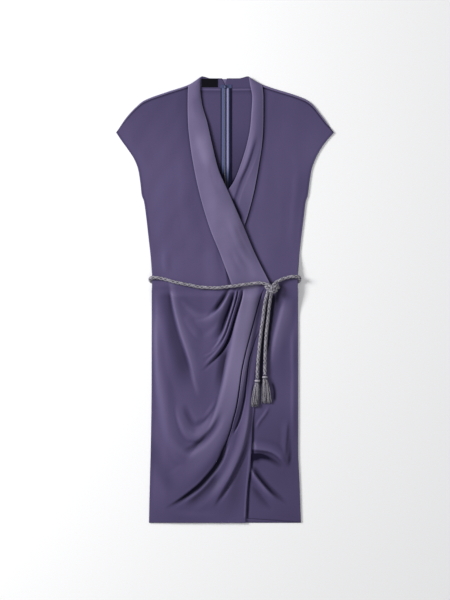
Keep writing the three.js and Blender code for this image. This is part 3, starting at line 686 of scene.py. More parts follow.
def hollow(height: Array, reach: int) -> Array:
    """How far each point lies below its surroundings: a box mean of the heights less the height.

    Args:
        height: heights as rows by columns.
        reach: how many rows and columns to each side the mean takes in.

    Returns:
        The depth below the mean, negative on crests.
    """
    width = 2 * reach + 1
    total = np.pad(np.pad(height, reach, mode="edge").cumsum(0).cumsum(1), ((1, 0), (1, 0)))
    mean = total[width:, width:] - total[:-width, width:] - total[width:, :-width] + total[:-width, :-width]
    return mean / width**2 - height


class Sock:
    """A shader value that Python's operators turn into Math nodes."""

    def __init__(self, shader: "Shader", socket: bpy.types.NodeSocket) -> None:
        """Keeps the socket and the shader that it belongs to."""
        self.shader = shader
        self.socket = socket

    def _with(self, operation: str, *values: "Sock | float") -> "Sock":
        """A Math node on the given values."""
        return self.shader.node("ShaderNodeMath", {"operation": operation}, dict(enumerate(values)))

    def __add__(self, other: "Sock | float") -> "Sock":
        """The sum."""
        return self._with("ADD", self, other)

    def __radd__(self, other: float) -> "Sock":
        """The sum with a number in front."""
        return self._with("ADD", other, self)

    def __sub__(self, other: "Sock | float") -> "Sock":
        """The difference."""
        return self._with("SUBTRACT", self, other)

    def __rsub__(self, other: float) -> "Sock":
        """A number less this value."""
        return self._with("SUBTRACT", other, self)

    def __mul__(self, other: "Sock | float") -> "Sock":
        """The product."""
        return self._with("MULTIPLY", self, other)

    def __rmul__(self, other: float) -> "Sock":
        """The product with a number in front."""
        return self._with("MULTIPLY", other, self)

    def sine(self) -> "Sock":
        """The sine."""
        return self._with("SINE", self)

    def within(self, low: float, high: float) -> "Sock":
        """The value kept between two bounds."""
        return self._with("MINIMUM", self._with("MAXIMUM", self, low), high)


class Shader:
    """A material in the making, with one Principled surface."""

    def __init__(self, name: str) -> None:
        """Starts an empty node tree with an output and a surface.

        Args:
            name: the material's name.
        """
        self.material = bpy.data.materials.new(name)
        self.material.use_nodes = True
        self.tree = self.material.node_tree
        self.tree.nodes.clear()
        self.output = self.tree.nodes.new("ShaderNodeOutputMaterial")
        self.surface = self.tree.nodes.new("ShaderNodeBsdfPrincipled")
        self.tree.links.new(self.surface.outputs[0], self.output.inputs["Surface"])

    def _set(self, node: bpy.types.Node, inputs: dict) -> None:
        """Links or sets each of a node's sockets.

        Args:
            node: the node.
            inputs: a value or a linked value for each socket.
        """
        for key, value in inputs.items():
            if isinstance(value, Sock):
                self.tree.links.new(value.socket, node.inputs[key])
            else:
                node.inputs[key].default_value = value

    def node(self, kind: str, settings: dict, inputs: dict, output: int | str = 0) -> Sock:
        """One node of any kind.

        Args:
            kind: the node's type.
            settings: its properties, set first; stops gives a ramp's positions and colours.
            inputs: a value or a linked value for each socket.
            output: which output is wanted.

        Returns:
            The wanted output.
        """
        node = self.tree.nodes.new(kind)
        for key, value in settings.items():
            if key == "stops":
                for i, (place, colour) in enumerate(value):
                    stop = node.color_ramp.elements[i] if i < 2 else node.color_ramp.elements.new(place)
                    stop.position, stop.color = place, colour
            else:
                setattr(node, key, value)
        self._set(node, inputs)
        return Sock(self, node.outputs[output])

    def place(self, use_cut: bool = True) -> Sock:
        """The piece's own flat places, or its object coordinates.

        Args:
            use_cut: whether the flat places are wanted.

        Returns:
            The wanted place.
        """
        if use_cut:
            return self.node("ShaderNodeUVMap", {"uv_map": "cut"}, {})
        return self.node("ShaderNodeTexCoord", {}, {}, "Object")

    def tone(self) -> Sock:
        """The piece's tone, with the light and shade painted into it, 0 where it has none."""
        return self.node("ShaderNodeAttribute", {"attribute_name": "tone"}, {}, "Fac")

    def noise(self, place: Sock, scale: float, detail: float = 2.0) -> Sock:
        """Noise from 0 to 1 at so many grains a metre."""
        return self.node("ShaderNodeTexNoise", {}, {"Vector": place, "Scale": scale, "Detail": detail})

    def axis(self, place: Sock, output: int) -> Sock:
        """One coordinate of a place."""
        return self.node("ShaderNodeSeparateXYZ", {}, {0: place}, output)

    def mix(self, factor: "Sock | float", first: "Sock | tuple", second: "Sock | tuple") -> Sock:
        """A colour between two colours."""
        inputs = {0: factor, 6: first, 7: second}
        return self.node("ShaderNodeMix", {"data_type": "RGBA"}, inputs, 2)

    def bump(self, height: Sock, distance: float, strength: float) -> Sock:
        """A normal from a height map."""
        inputs = {"Height": height, "Distance": distance, "Strength": strength}
        return self.node("ShaderNodeBump", {}, inputs)

    def finish(self, **inputs: "Sock | float | tuple") -> bpy.types.Material:
        """Sets the surface's sockets, named with underscores for spaces, and gives the material."""
        self._set(self.surface, {key.replace("_", " "): value for key, value in inputs.items()})
        return self.material


Colour = tuple[float, float, float]


def opaque(colour: Colour, gain: float = 1.0) -> tuple[float, float, float, float]:
    """A colour with its alpha, made lighter or darker."""
    return (colour[0] * gain, colour[1] * gain, colour[2] * gain, 1.0)


@dataclass(frozen=True)
class Crepe:
    """Satin-backed crepe: a fine crossed weave, a soft sheen, slight changes of tone and painted light and
    shade.
    """

    name: str = "satin_crepe"
    colour: Colour = (0.098, 0.077, 0.174)
    # light is the colour that painted highlights mix towards; dark is that of painted shade and of the
    # grain's darker flecks.
    light: Colour = (0.236, 0.200, 0.342)
    dark: Colour = (0.004, 0.002, 0.018)
    roughness: float = 0.54
    threads: float = 2600.0

    def material(self) -> bpy.types.Material:
        """Mixes the body colour with the light and the dark one by the piece's tone, painted light and shade
        included.

        Returns:
            The material.
        """
        shader = Shader(self.name)
        cut = shader.place()
        across, along = shader.axis(cut, 0), shader.axis(cut, 1)
        tone = shader.tone()
        cloud = shader.noise(cut, 9.0, 3.0)
        fleck = shader.noise(cut, 1500.0, 1.0)
        grain = cloud * 0.24 + fleck * 0.16 + 0.80
        # A positive tone mixes in the light colour and a negative one the dark: painted highlights and
        # painted shade, with slight random changes of colour.
        body = shader.mix((tone * 1.0).within(0.0, 1.0), opaque(self.colour), opaque(self.light))
        body = shader.mix((tone * -1.0).within(0.0, 1.0), body, opaque(self.dark))
        shade = shader.mix((grain - 0.75) * 2.0, shader.mix(0.86, opaque(self.dark), body), body)
        warp = (across * self.threads).sine()
        weft = (along * self.threads).sine()
        weave = warp * weft * 0.5 + fleck * 0.8
        normal = shader.bump(weave, 0.00012, 0.25)
        return shader.finish(
            Base_Color=shade,
            Roughness=(cloud * 0.14 + (self.roughness - 0.07)),
            Normal=normal,
            Sheen_Weight=0.07,
            Sheen_Roughness=0.5,
            Sheen_Tint=(0.60, 0.55, 0.98, 1.0),
            Specular_IOR_Level=0.13,
        )


@dataclass(frozen=True)
class BraidedCord:
    """Matt braided cord of mixed grey threads."""

    name: str = "braided_cord"
    light: Colour = (0.46, 0.43, 0.49)
    dark: Colour = (0.075, 0.07, 0.095)

    def material(self) -> bpy.types.Material:
        """Threads run along each strand; the tone tells light strands from dark ones, and paints the core
        dark as shade.

        Returns:
            The material.
        """
        shader = Shader(self.name)
        cut = shader.place()
        across, along = shader.axis(cut, 0), shader.axis(cut, 1)
        tone = shader.tone()
        thread = (across * 9000.0 + along * 2500.0).sine() * 0.5 + 0.5
        fleck = shader.noise(shader.place(False), 520.0, 2.0)
        share = (tone + thread * 0.2 + fleck * 2.4 - 1.36).within(0.0, 1.0)
        return shader.finish(
            Base_Color=shader.mix(share, opaque(self.dark), opaque(self.light)),
            Roughness=fleck * 0.2 + 0.65,
            Normal=shader.bump(thread + fleck, 0.0002, 0.5),
            Sheen_Weight=0.05,
            Specular_IOR_Level=0.2,
        )


@dataclass(frozen=True)
class ZipTape:
    """Woven zip tape with a seam allowance folded over it: its colours change across its width."""

    name: str = "zip_tape_twill"
    slate: Colour = (0.10, 0.122, 0.26)
    # A dark blue for the tape's dark threads and for painted shade in the gaps beside the tapes and low in
    # the neck opening.
    navy_and_painted_shade: Colour = (0.0015, 0.0012, 0.016)
    # A painted highlight on the rolled edge of the folded allowance.
    ridge: Colour = (0.36, 0.34, 0.60)

    def material(self) -> bpy.types.Material:
        """The tone picks painted shade below 0, slate at 0 and above it a painted highlight on the folded
        cloth.

        Returns:
            The material.
        """
        shader = Shader(self.name)
        cut = shader.place()
        across, along = shader.axis(cut, 0), shader.axis(cut, 1)
        tone = shader.tone()
        twill = (across * 5200.0 + along * 5200.0).sine() * 0.5 + 0.5
        fleck = shader.noise(cut, 700.0)
        colour = shader.mix((tone * 1.0).within(0.0, 1.0), opaque(self.slate), opaque(self.ridge))
        colour = shader.mix((tone * -1.0).within(0.0, 1.0), colour, opaque(self.navy_and_painted_shade))
        colour = shader.mix(twill * 0.25 + fleck * 0.2, colour, opaque(self.navy_and_painted_shade))
        return shader.finish(
            Base_Color=colour,
            Roughness=fleck * 0.15 + 0.62,
            Normal=shader.bump(twill, 0.0001, 0.35),
            Specular_IOR_Level=0.15,
        )


@dataclass(frozen=True)
class ZipNylon:
    """Dyed nylon of the zip's coil, or the enamel of its slider."""

    name: str
    colour: Colour
    roughness: float
    metallic: float = 0.0

    def material(self) -> bpy.types.Material:
        """Fine scuffs make the surface a little uneven in gloss.

        Returns:
            The material.
        """
        shader = Shader(self.name)
        place = shader.place(False)
        scuff = shader.noise(place, 420.0, 4.0)
        tone = shader.tone()
        colour = shader.mix(scuff, opaque(self.colour, 0.8), opaque(self.colour, 1.2))
        # A negative tone paints shade, darkening the colour almost to black.
        return shader.finish(
            Base_Color=shader.mix((tone * -1.0).within(0.0, 1.0), colour, opaque(self.colour, 0.05)),
            Roughness=scuff * 0.2 + (self.roughness - 0.1),
            Metallic=self.metallic,
            Normal=shader.bump(scuff, 0.00005, 0.2),
        )


@dataclass(frozen=True)
class LabelSatin:
    """Black woven label satin, blank."""

    name: str = "label_satin"
    colour: Colour = (0.002, 0.002, 0.004)

    def material(self) -> bpy.types.Material:
        """Fine ribs run along the label.

        Returns:
            The material.
        """
        shader = Shader(self.name)
        cut = shader.place()
        rib = (shader.axis(cut, 1) * 9000.0).sine() * 0.5 + 0.5
        fleck = shader.noise(cut, 1300.0)
        return shader.finish(
            Base_Color=shader.mix(rib * 0.5 + fleck * 0.4, opaque(self.colour), opaque(self.colour, 2.0)),
            Roughness=fleck * 0.2 + 0.75,
            Normal=shader.bump(rib, 0.00006, 0.3),
            Specular_IOR_Level=0.12,
        )


@dataclass(frozen=True)
class StudioPaper:
    """A plain pale floor."""

    name: str = "studio_paper"
    colour: Colour = (0.92, 0.92, 0.925)

    def material(self) -> bpy.types.Material:
        """Hardly any variation.

        Returns:
            The material.
        """
        shader = Shader(self.name)
        soft = shader.noise(shader.place(False), 3.0)
        return shader.finish(
            Base_Color=shader.mix(soft, opaque(self.colour, 0.99), opaque(self.colour)),
            Roughness=0.9,
            Emission_Color=(1.0, 1.0, 1.0, 1.0),
            Emission_Strength=0.10,
        )


@dataclass
class Wardrobe:
    """Every finish, made once and shared."""

    cloth: bpy.types.Material = field(default_factory=lambda: Crepe().material())
    rope: bpy.types.Material = field(default_factory=lambda: BraidedCord().material())
    tape: bpy.types.Material = field(default_factory=lambda: ZipTape().material())
    coil: bpy.types.Material = field(
        default_factory=lambda: ZipNylon("zip_coil_nylon", (0.022, 0.026, 0.07), 0.42).material()
    )
    slider: bpy.types.Material = field(
        default_factory=lambda: ZipNylon("zip_slider_enamel", (0.045, 0.05, 0.11), 0.3, 0.4).material()
    )
    label: bpy.types.Material = field(default_factory=lambda: LabelSatin().material())

    def of(self, slot: Slot) -> bpy.types.Material:
        """The finish of a slot.

        Args:
            slot: the record's slot.

        Returns:
            Its material.
        """
        return {
            Slot.CLOTH: self.cloth,
            Slot.ROPE: self.rope,
            Slot.TAPE: self.tape,
            Slot.COIL: self.coil,
            Slot.SLIDER: self.slider,
            Slot.LABEL: self.label,
        }[slot]


def place_piece(thing: bpy.types.Object, slot: Slot, wardrobe: Wardrobe, *nodes: str) -> bpy.types.Object:
    """Dresses a piece, puts it on the dress and lets it stand for its nodes.

    Args:
        thing: the new object.
        slot: its material slot.
        wardrobe: the finishes.
        nodes: the part's nodes that it replaces.

    Returns:
        The same object.
    """
    thing.data.materials.append(wardrobe.of(slot))
    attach(thing, "root")
    if nodes:
        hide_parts(*nodes)
    faces = len(thing.data.polygons)
    log.info("%s: %d faces, slot %s", thing.name, faces, slot.value)
    return thing


@dataclass
class Studio:
    """A pale floor, soft light from the left and a camera straight above."""

    field_height: float = 1.380
    middle: tuple[float, float] = (0.0, -0.001)
    distance: float = 5.0
    film: float = 36.0

    def _light(self, name: str, at: Colour, size: float, power: float) -> None:
        """A square soft light that faces the dress.

        Args:
            name: the light's name.
            at: where it is, in metres.
            size: the length of its side, in metres.
            power: its power, in watts.
        """
        data = bpy.data.lights.new(name, "AREA")
        data.size, data.energy = size, power
        thing = bpy.data.objects.new(name, data)
        aim = np.array([0.0, 0.0, 0.0]) - np.array(at)
        distance = float(np.linalg.norm(aim))
        tilt = float(np.arccos(-aim[2] / distance))
        thing.rotation_euler = (tilt, 0.0, float(np.arctan2(-aim[0], aim[1])) if tilt > 1e-6 else 0.0)
        thing.location = at
        bpy.context.scene.collection.objects.link(thing)

    def camera(self) -> None:
        """A long lens that takes in the photograph's field."""
        data = bpy.data.cameras.new("view")
        data.sensor_fit = "VERTICAL"
        data.sensor_height = self.film
        data.lens = self.film * self.distance / self.field_height
        data.clip_end = 50.0
        thing = bpy.data.objects.new("view", data)
        thing.location = (*self.middle, self.distance)
        bpy.context.scene.collection.objects.link(thing)
        bpy.context.scene.camera = thing

    def build(self) -> None:
        """Lays the floor and sets the lights."""
        side = 6000.0
        x, y = np.meshgrid(np.linspace(-side, side, 9), np.linspace(-side, side, 9))
        points = np.stack([x, y, np.full(x.shape, -0.4)], axis=-1).reshape(-1, 3)
        shape = Shape(points, grid_faces(9, 9), points[:, :2], np.zeros(len(points)))
        floor = shape.mesh("floor")
        floor.data.materials.append(StudioPaper().material())
        self._light("key", (-2.7, 1.0, 1.7), 1.1, 125.0)
        self._light("fill", (1.0, -0.4, 3.4), 3.0, 16.0)
        world = bpy.data.worlds.new("studio")
        world.use_nodes = True
        world.node_tree.nodes["Background"].inputs[0].default_value = (0.97, 0.98, 1.0, 1.0)
        world.node_tree.nodes["Background"].inputs[1].default_value = 0.30
        bpy.context.scene.world = world
        bpy.context.scene.view_settings.view_transform = "Standard"
        log.info("studio: floor, two lights, sky")


def frames_along(path: Array) -> tuple[Array, Array, Array]:
    """Directions along a path that don't twist about it.

    The tangent is the path's difference, and each sideways direction is the last one made square to the
    new tangent.

    Args:
        path: points along the path.

    Returns:
        The tangents and two directions square to them, for each point.
    """
    tangent = np.gradient(path, axis=0)
    tangent /= np.linalg.norm(tangent, axis=1, keepdims=True)
    start = np.array([0.0, 0.0, 1.0]) if abs(tangent[0, 2]) < 0.8 else np.array([0.0, 1.0, 0.0])
    side = np.empty_like(path)
    for i, along in enumerate(tangent):
        start = start - along * float(start @ along)
        start = start / np.linalg.norm(start)
        side[i] = start
    return tangent, side, np.cross(tangent, side)


def flat_places(rings: Array, across: Array, along: Array) -> Array:
    """The flat places of rings of points, from one value across and one along for each of them.

    Args:
        rings: the points, as tubes by rings by sides by three.
        across: the first flat coordinate, in any form that spreads over the points.
        along: the second one.

    Returns:
        The places, as tubes by rings by sides by two.
    """
    flat = np.empty(rings.shape[:3] + (2,))
    flat[..., 0] = across
    flat[..., 1] = along
    return flat


def tubes(rings: Array, tone: Array, flat: Array) -> Shape:
    """Closed tubes from rings of points.

    Args:
        rings: points as tubes by rings by sides by three, the sides running against the clock seen
            along the tube's direction.
        tone: a tone for each tube.
        flat: flat places as tubes by rings by sides by two.

    Returns:
        The tubes as one shape, each end closed.
    """
    count, length, sides, _ = rings.shape
    r, s = np.meshgrid(np.arange(length - 1), np.arange(sides), indexing="ij")
    a, b = (r * sides + s).ravel(), (r * sides + (s + 1) % sides).ravel()
    wall = np.stack([a, b, b + sides, a + sides], axis=1)
    last = (length - 1) * sides
    if sides == 4:
        caps = np.array([[3, 2, 1, 0], [last, last + 1, last + 2, last + 3]])
    else:
        half = np.array([[0, k, k + 1, k + 2] for k in range(1, sides - 2, 2)])
        caps = np.vstack([half[:, ::-1], half + last])
    faces = np.vstack([wall, caps])
    starts = (np.arange(count) * length * sides)[:, None, None]
    every = (faces[None] + starts).reshape(-1, 4)
    tones = np.repeat(tone, length * sides)
    return Shape(rings.reshape(-1, 3), every, flat.reshape(-1, 2), tones)


@dataclass(frozen=True)
class Braid:
    """A round braid: strands that run round a core in both directions, over and under each other."""

    radius: float = 4.0
    strands: int = 8
    strand_width: float = 0.92
    strand_depth: float = 0.82
    weave: float = 0.32
    turn: float = 0.22
    spacing: float = 1.25
    sides: int = 6
    light_tone: float = 0.84
    dark_tone: float = -0.25
    core_sides: int = 8
    core_tone: float = -0.4

    def shape(self, route: Sequence[Sequence[float]], phase: float = 0.0) -> Shape:
        """The braid along a route.

        A strand turns round the core by the same angle each millimetre, and its distance from the core's
        middle rises and falls with four waves a turn, which puts it over one crossing strand and under
        the next.

        Args:
            route: the rope's route.
            phase: where the turning starts.

        Returns:
            The strands and the core.
        """
        length = route_length(route)
        path = smooth_route(route, max(6, round(length / self.spacing)))
        _, side, up = frames_along(path)
        along = np.linspace(0.0, length, len(path))
        turning = self.turn * along + phase
        start = 2 * np.pi * np.arange(self.strands) / self.strands
        middle = self.radius - self.strand_depth - self.weave
        shapes = []
        for way in (1, -1):
            angle = way * turning[None, :] + start[:, None]
            distance = middle + way * self.weave * np.cos(self.strands * turning)[None, :]
            outward = np.cos(angle)[..., None] * side[None] + np.sin(angle)[..., None] * up[None]
            centre = path[None] + distance[..., None] * outward
            run = np.gradient(centre, axis=1)
            run /= np.linalg.norm(run, axis=2, keepdims=True)
            out = outward - run * (outward * run).sum(axis=2, keepdims=True)
            out /= np.linalg.norm(out, axis=2, keepdims=True)
            across = np.cross(run, out)
            turns = 2 * np.pi * np.arange(self.sides) / self.sides
            ring = (
                centre[:, :, None]
                + self.strand_depth * np.cos(turns)[None, None, :, None] * out[:, :, None]
                + self.strand_width * np.sin(turns)[None, None, :, None] * across[:, :, None]
            )
            flat = flat_places(ring, (turns * self.strand_width)[None, None, :], along[None, :, None])
            is_dark = (np.arange(self.strands) + (way > 0)) % 3 == 0
            tone = np.where(is_dark, self.dark_tone, self.light_tone)
            shapes.append(tubes(ring, tone, flat))
        shapes.append(self._core(path, side, up, along, middle))
        return Shape.joined(shapes)

    def _core(self, path: Array, side: Array, up: Array, along: Array, radius: float) -> Shape:
        """A plain tube under the strands, painted dark as the shade between them: a circle of points carried
        along the path.

        Args:
            path: points along the rope's middle.
            side: a direction square to the path at each point.
            up: the direction square to both.
            along: how far along the rope each point is.
            radius: the tube's radius.

        Returns:
            The closed tube.
        """
        turns = 2 * np.pi * np.arange(self.core_sides) / self.core_sides
        around = np.cos(turns)[None, :, None] * side[:, None] + np.sin(turns)[None, :, None] * up[:, None]
        ring = (path[:, None] + radius * around)[None]
        flat = flat_places(ring, (turns * radius)[None, None, :], along[None, :, None])
        return tubes(ring, np.array([self.core_tone]), flat)


WAIST_ROUTE = (
    (99.5, 33.6, 22.6), (91, 36.4, 22.4), (80, 38.2, 22.4), (66, 37, 22.4), (53, 35.4, 22.8),
    (38, 33.5, 23.6), (23, 31.3, 24.4), (2, 29, 23.4), (-19, 26.7, 22.4), (-38, 27.4, 21.4),
    (-58, 28.5, 20.4), (-75, 32, 20.2), (-92, 35.4, 20), (-111, 39.3, 19.4), (-129, 44, 18.2),
    (-144, 48, 17), (-154, 49.8, 16.7), (-164, 50.4, 16.6), (-170.8, 49.3, 14.0), (-172, 46.4, 9.8),
    (-171, 42.6, 6.4), (-166, 39.6, 4.4), (-156, 38.2, 4.1), (-120, 38, 4.1), (-60, 38, 4.1),
    (0, 38, 4.1), (60, 38, 4.1), (120, 38, 4.1), (155, 38.2, 4.1), (165.5, 39.8, 4.4), (170.8, 43, 6.5),
    (171.6, 47, 9.8), (170.2, 50.6, 13.9), (163.5, 52.5, 16.5), (153, 52.6, 16.3), (145, 50.8, 16),
    (133, 47.6, 16.4), (124.6, 43.4, 17.8),
)
END_LEFT_ROUTE = (
    (96.4, 12, 19.8), (94.7, 6, 18.6), (93.2, 0, 17.2), (92, -6, 15.8), (91, -12, 14.6), (89.4, -24, 12.2),
    (88, -36, 10.8), (86.6, -48, 9.8), (84, -65, 9.4), (82, -82, 9.2), (80.1, -99, 9.2), (78.4, -116, 9.2),
    (76, -140, 9.3), (74.6, -162, 9.6), (74.2, -181.6, 10.2),
)
END_RIGHT_ROUTE = (
    (105.4, 11, 18.8), (104.3, 4.5, 17.2), (103.4, -2, 15.6), (102.6, -7, 14.1), (102, -12, 12.6),
    (100.6, -24, 9.8), (99.4, -36, 8.4), (98.4, -48, 7.7), (96.4, -65, 7.5), (94.6, -82, 7.5),
    (93.6, -99, 7.6), (92.8, -116, 7.8), (92.3, -131, 7.7), (92, -150, 7.6), (91.8, -173.4, 7.9),
)
KNOT_STRANDS = (
    ((99.5, 33.6, 22.6), (102.3, 32, 22.8), (105.2, 29.2, 22.6), (108, 25, 21)),
    (
        (124.6, 43.4, 17.8), (120, 41.4, 18.6), (114.4, 37, 21.8), (109.8, 31.4, 24.6), (107.2, 25.6, 25.2),
        (106, 21, 22.8),
    ),
    ((120.6, 33.2, 19.5), (117.4, 31.2, 22.8), (112.4, 28.6, 25.2), (107.2, 25.2, 25), (104, 22, 22)),
    ((123.6, 28.6, 18), (120.2, 27, 20.8), (115.4, 24.6, 23.4), (110.6, 21.6, 24), (107, 18.6, 22)),
    (
        (93.6, 30.6, 18.4), (95.6, 27.4, 22.6), (100.2, 22.4, 26.4), (106.2, 18.6, 27.4), (112.4, 17.8, 26),
        (116, 19.4, 23), (117.6, 22.6, 19.4),
    ),
    ((96.4, 12, 19.8), (97.4, 15.6, 20.8), (99.6, 20, 21.6), (103, 24, 21.4)),
    ((105.4, 11, 18.8), (105.9, 14.6, 20.2), (107.2, 18.8, 21), (109, 23, 20.6)),
)


@dataclass(frozen=True)
class Tassel:
    """A bound cap and the strands that hang from it, lying on the skirt."""

    name: str
    x: float
    y: float
    z: float
    foot: float
    left: float
    left_z: float
    right: float
    right_z: float
    cap_width: float = 13.0
    cap_length: float = 7.0
    cap_depth: float = 0.74
    strands: int = 96
    steps: int = 9
    seed: int = 5

    def _cap(self) -> Shape:
        """A light binding of three windings, and below it a narrower dark neck."""
        binding = self._ring(0.26, 1.02, self.cap_width / 2.0, 0.3, 3, 0.95)
        return Shape.joined([binding, self._ring(0.95, 1.32, self.cap_width / 2.0 - 0.7, 0.1, 2, -0.3)])

    def _ring(self, start: float, end: float, wide: float, depth: float, windings: int, tone: float) -> Shape:
        """A profile carried round the rope's direction: waves between two drawn-in ends.

        Args:
            start: where it starts, as a share of the cap's length.
            end: where it ends.
            wide: its radius.
            depth: the depth of the waves.
            windings: how many waves it has.
            tone: how light it is.

        Returns:
            The closed profile.
        """
        t = np.linspace(0.0, 1.0, 25)
        radius = wide * np.clip(np.sin(np.pi * np.clip(t, 0.04, 0.96)) ** 0.25, 0.3, 1.0)
        radius = radius + depth * (np.abs(np.sin(windings * np.pi * t)) - 1.0)
        turns = 2 * np.pi * np.arange(24) / 24
        ring = np.empty((1, len(t), 24, 3))
        ring[0, ..., 0] = self.x + radius[:, None] * np.cos(turns)[None]
        ring[0, ..., 1] = (self.y - self.cap_length * (start + (end - start) * t))[:, None]
        ring[0, ..., 2] = self.z + self.cap_depth * radius[:, None] * np.sin(turns)[None]
        flat = flat_places(ring, (self.cap_length * t)[None, :, None], (turns * 6.0)[None, None, :])
        return tubes(ring, np.array([tone]), flat)

    def _strands(self) -> Shape:
        """Threads that fan out from the cap: a straight run, a slight bow and a ripple to one side.

        Each thread's root lies in the cap's oval and its tip on a line along the tassel's foot, at the
        same share across. The bow is half a sine wave, and the ripple a sine that grows to the tip.

        Returns:
            All the threads, each a closed tube with four sides.
        """
        draw = np.random.default_rng(self.seed)
        share = (np.arange(self.strands) + 0.5) / self.strands
        depth = draw.uniform(-1.0, 1.0, self.strands)
        width = np.sqrt(1.0 - 0.75 * depth**2)
        place = 0.5 + (share - 0.5) * width
        root = np.stack(
            [
                self.x + (place - 0.5) * (self.cap_width - 4.0),
                np.full(self.strands, self.y - self.cap_length - 1.0),
                self.z + depth * 2.6 * np.sqrt(np.clip(1.0 - (2.0 * place - 1.0) ** 2, 0.1, 1.0)),
            ],
            axis=1,
        )
        reach = draw.uniform(-3.2, 2.2, self.strands)
        tip = np.stack(
            [
                self.left + (self.right - self.left) * place + draw.uniform(-1.2, 1.2, self.strands),
                self.foot + reach,
                self.left_z + (self.right_z - self.left_z) * place + depth * 2.6,
            ],
            axis=1,
        )
        t = np.linspace(0.0, 1.0, self.steps)[None, :, None]
        line = root[:, None] * (1.0 - t) + tip[:, None] * t
        bow = np.sin(np.pi * t[..., 0]) * draw.uniform(-0.9, 0.9, (self.strands, 1))
        each = (self.strands, 1)
        wave = 0.35 * np.sin(t[..., 0] * draw.uniform(8, 16, each) + draw.uniform(0, 6, each))
        line[..., 0] += (bow + wave * t[..., 0]) + (place[:, None] - 0.5) * 3.0 * np.sin(np.pi * t[..., 0])
        line[..., 2] += 0.5 * bow
        radius = 0.62 * (1.0 - 0.35 * t[..., 0])
        turns = 2 * np.pi * np.arange(4) / 4
        ring = np.empty((self.strands, self.steps, 4, 3))
        ring[..., 0] = line[..., 0:1] + radius[..., None] * np.cos(turns)[None, None]
        ring[..., 1] = line[..., 1:2]
        ring[..., 2] = line[..., 2:3] + radius[..., None] * np.sin(turns)[None, None]
        flat = flat_places(ring, turns[None, None, :] * 0.6, line[..., 1:2])
        return tubes(ring, draw.uniform(-0.15, 1.4, self.strands), flat)

    def build(self, wardrobe: Wardrobe) -> bpy.types.Object:
        """The cap and the strands as one piece."""
        thing = Shape.joined([self._cap(), self._strands()]).mesh(self.name + "_threads")
        return place_piece(thing, Slot.ROPE, wardrobe, self.name)


@dataclass
class Belt:
    """The rope belt: once round the waist, a knot, two free ends and their tassels."""

    diameter: float = 8.0
    braid: Braid = Braid()
    tassels: tuple[Tassel, Tassel] = (
        Tassel("tassel_left", 74.2, -182, 10.2, -243, 59.5, 9.8, 77, 6.8, seed=5),
        Tassel("tassel_right", 91.8, -173.8, 7.9, -236, 83, 6.3, 106.5, 6.3, seed=8),
    )

    def _end(
        self, name: str, route: tuple, phase: float, wardrobe: Wardrobe
    ) -> bpy.types.Object:
        """One free end of the rope.

        Args:
            name: the node that it stands for.
            route: the rope's route, as in the part.
            phase: where the braid's turning starts.
            wardrobe: the finishes.

        Returns:
            The rope.
        """
        thing = self.braid.shape(route, phase).mesh(name + "_braid")
        place_piece(thing, Slot.ROPE, wardrobe, name)
        path = smooth_route(route, 60) * MM
        round(route_length(route) * MM, 3)
        return thing

    def build(self, wardrobe: Wardrobe) -> None:
        """Makes every stretch of rope and its tassels.

        Args:
            wardrobe: the finishes.
        """
        left, right = (tassel.build(wardrobe) for tassel in self.tassels)
        self._end("belt_end_left", END_LEFT_ROUTE, 0.4, wardrobe)
        self._end("belt_end_right", END_RIGHT_ROUTE, 1.3, wardrobe)
        waist_rope = self.braid.shape(WAIST_ROUTE).mesh("belt_waist_braid")
        place_piece(waist_rope, Slot.ROPE, wardrobe, "belt_waist")
        wraps = [self.braid.shape(route, 0.7 * i) for i, route in enumerate(KNOT_STRANDS)]
        place_piece(Shape.joined(wraps).mesh("belt_knot_wraps"), Slot.ROPE, wardrobe, "belt_knot")


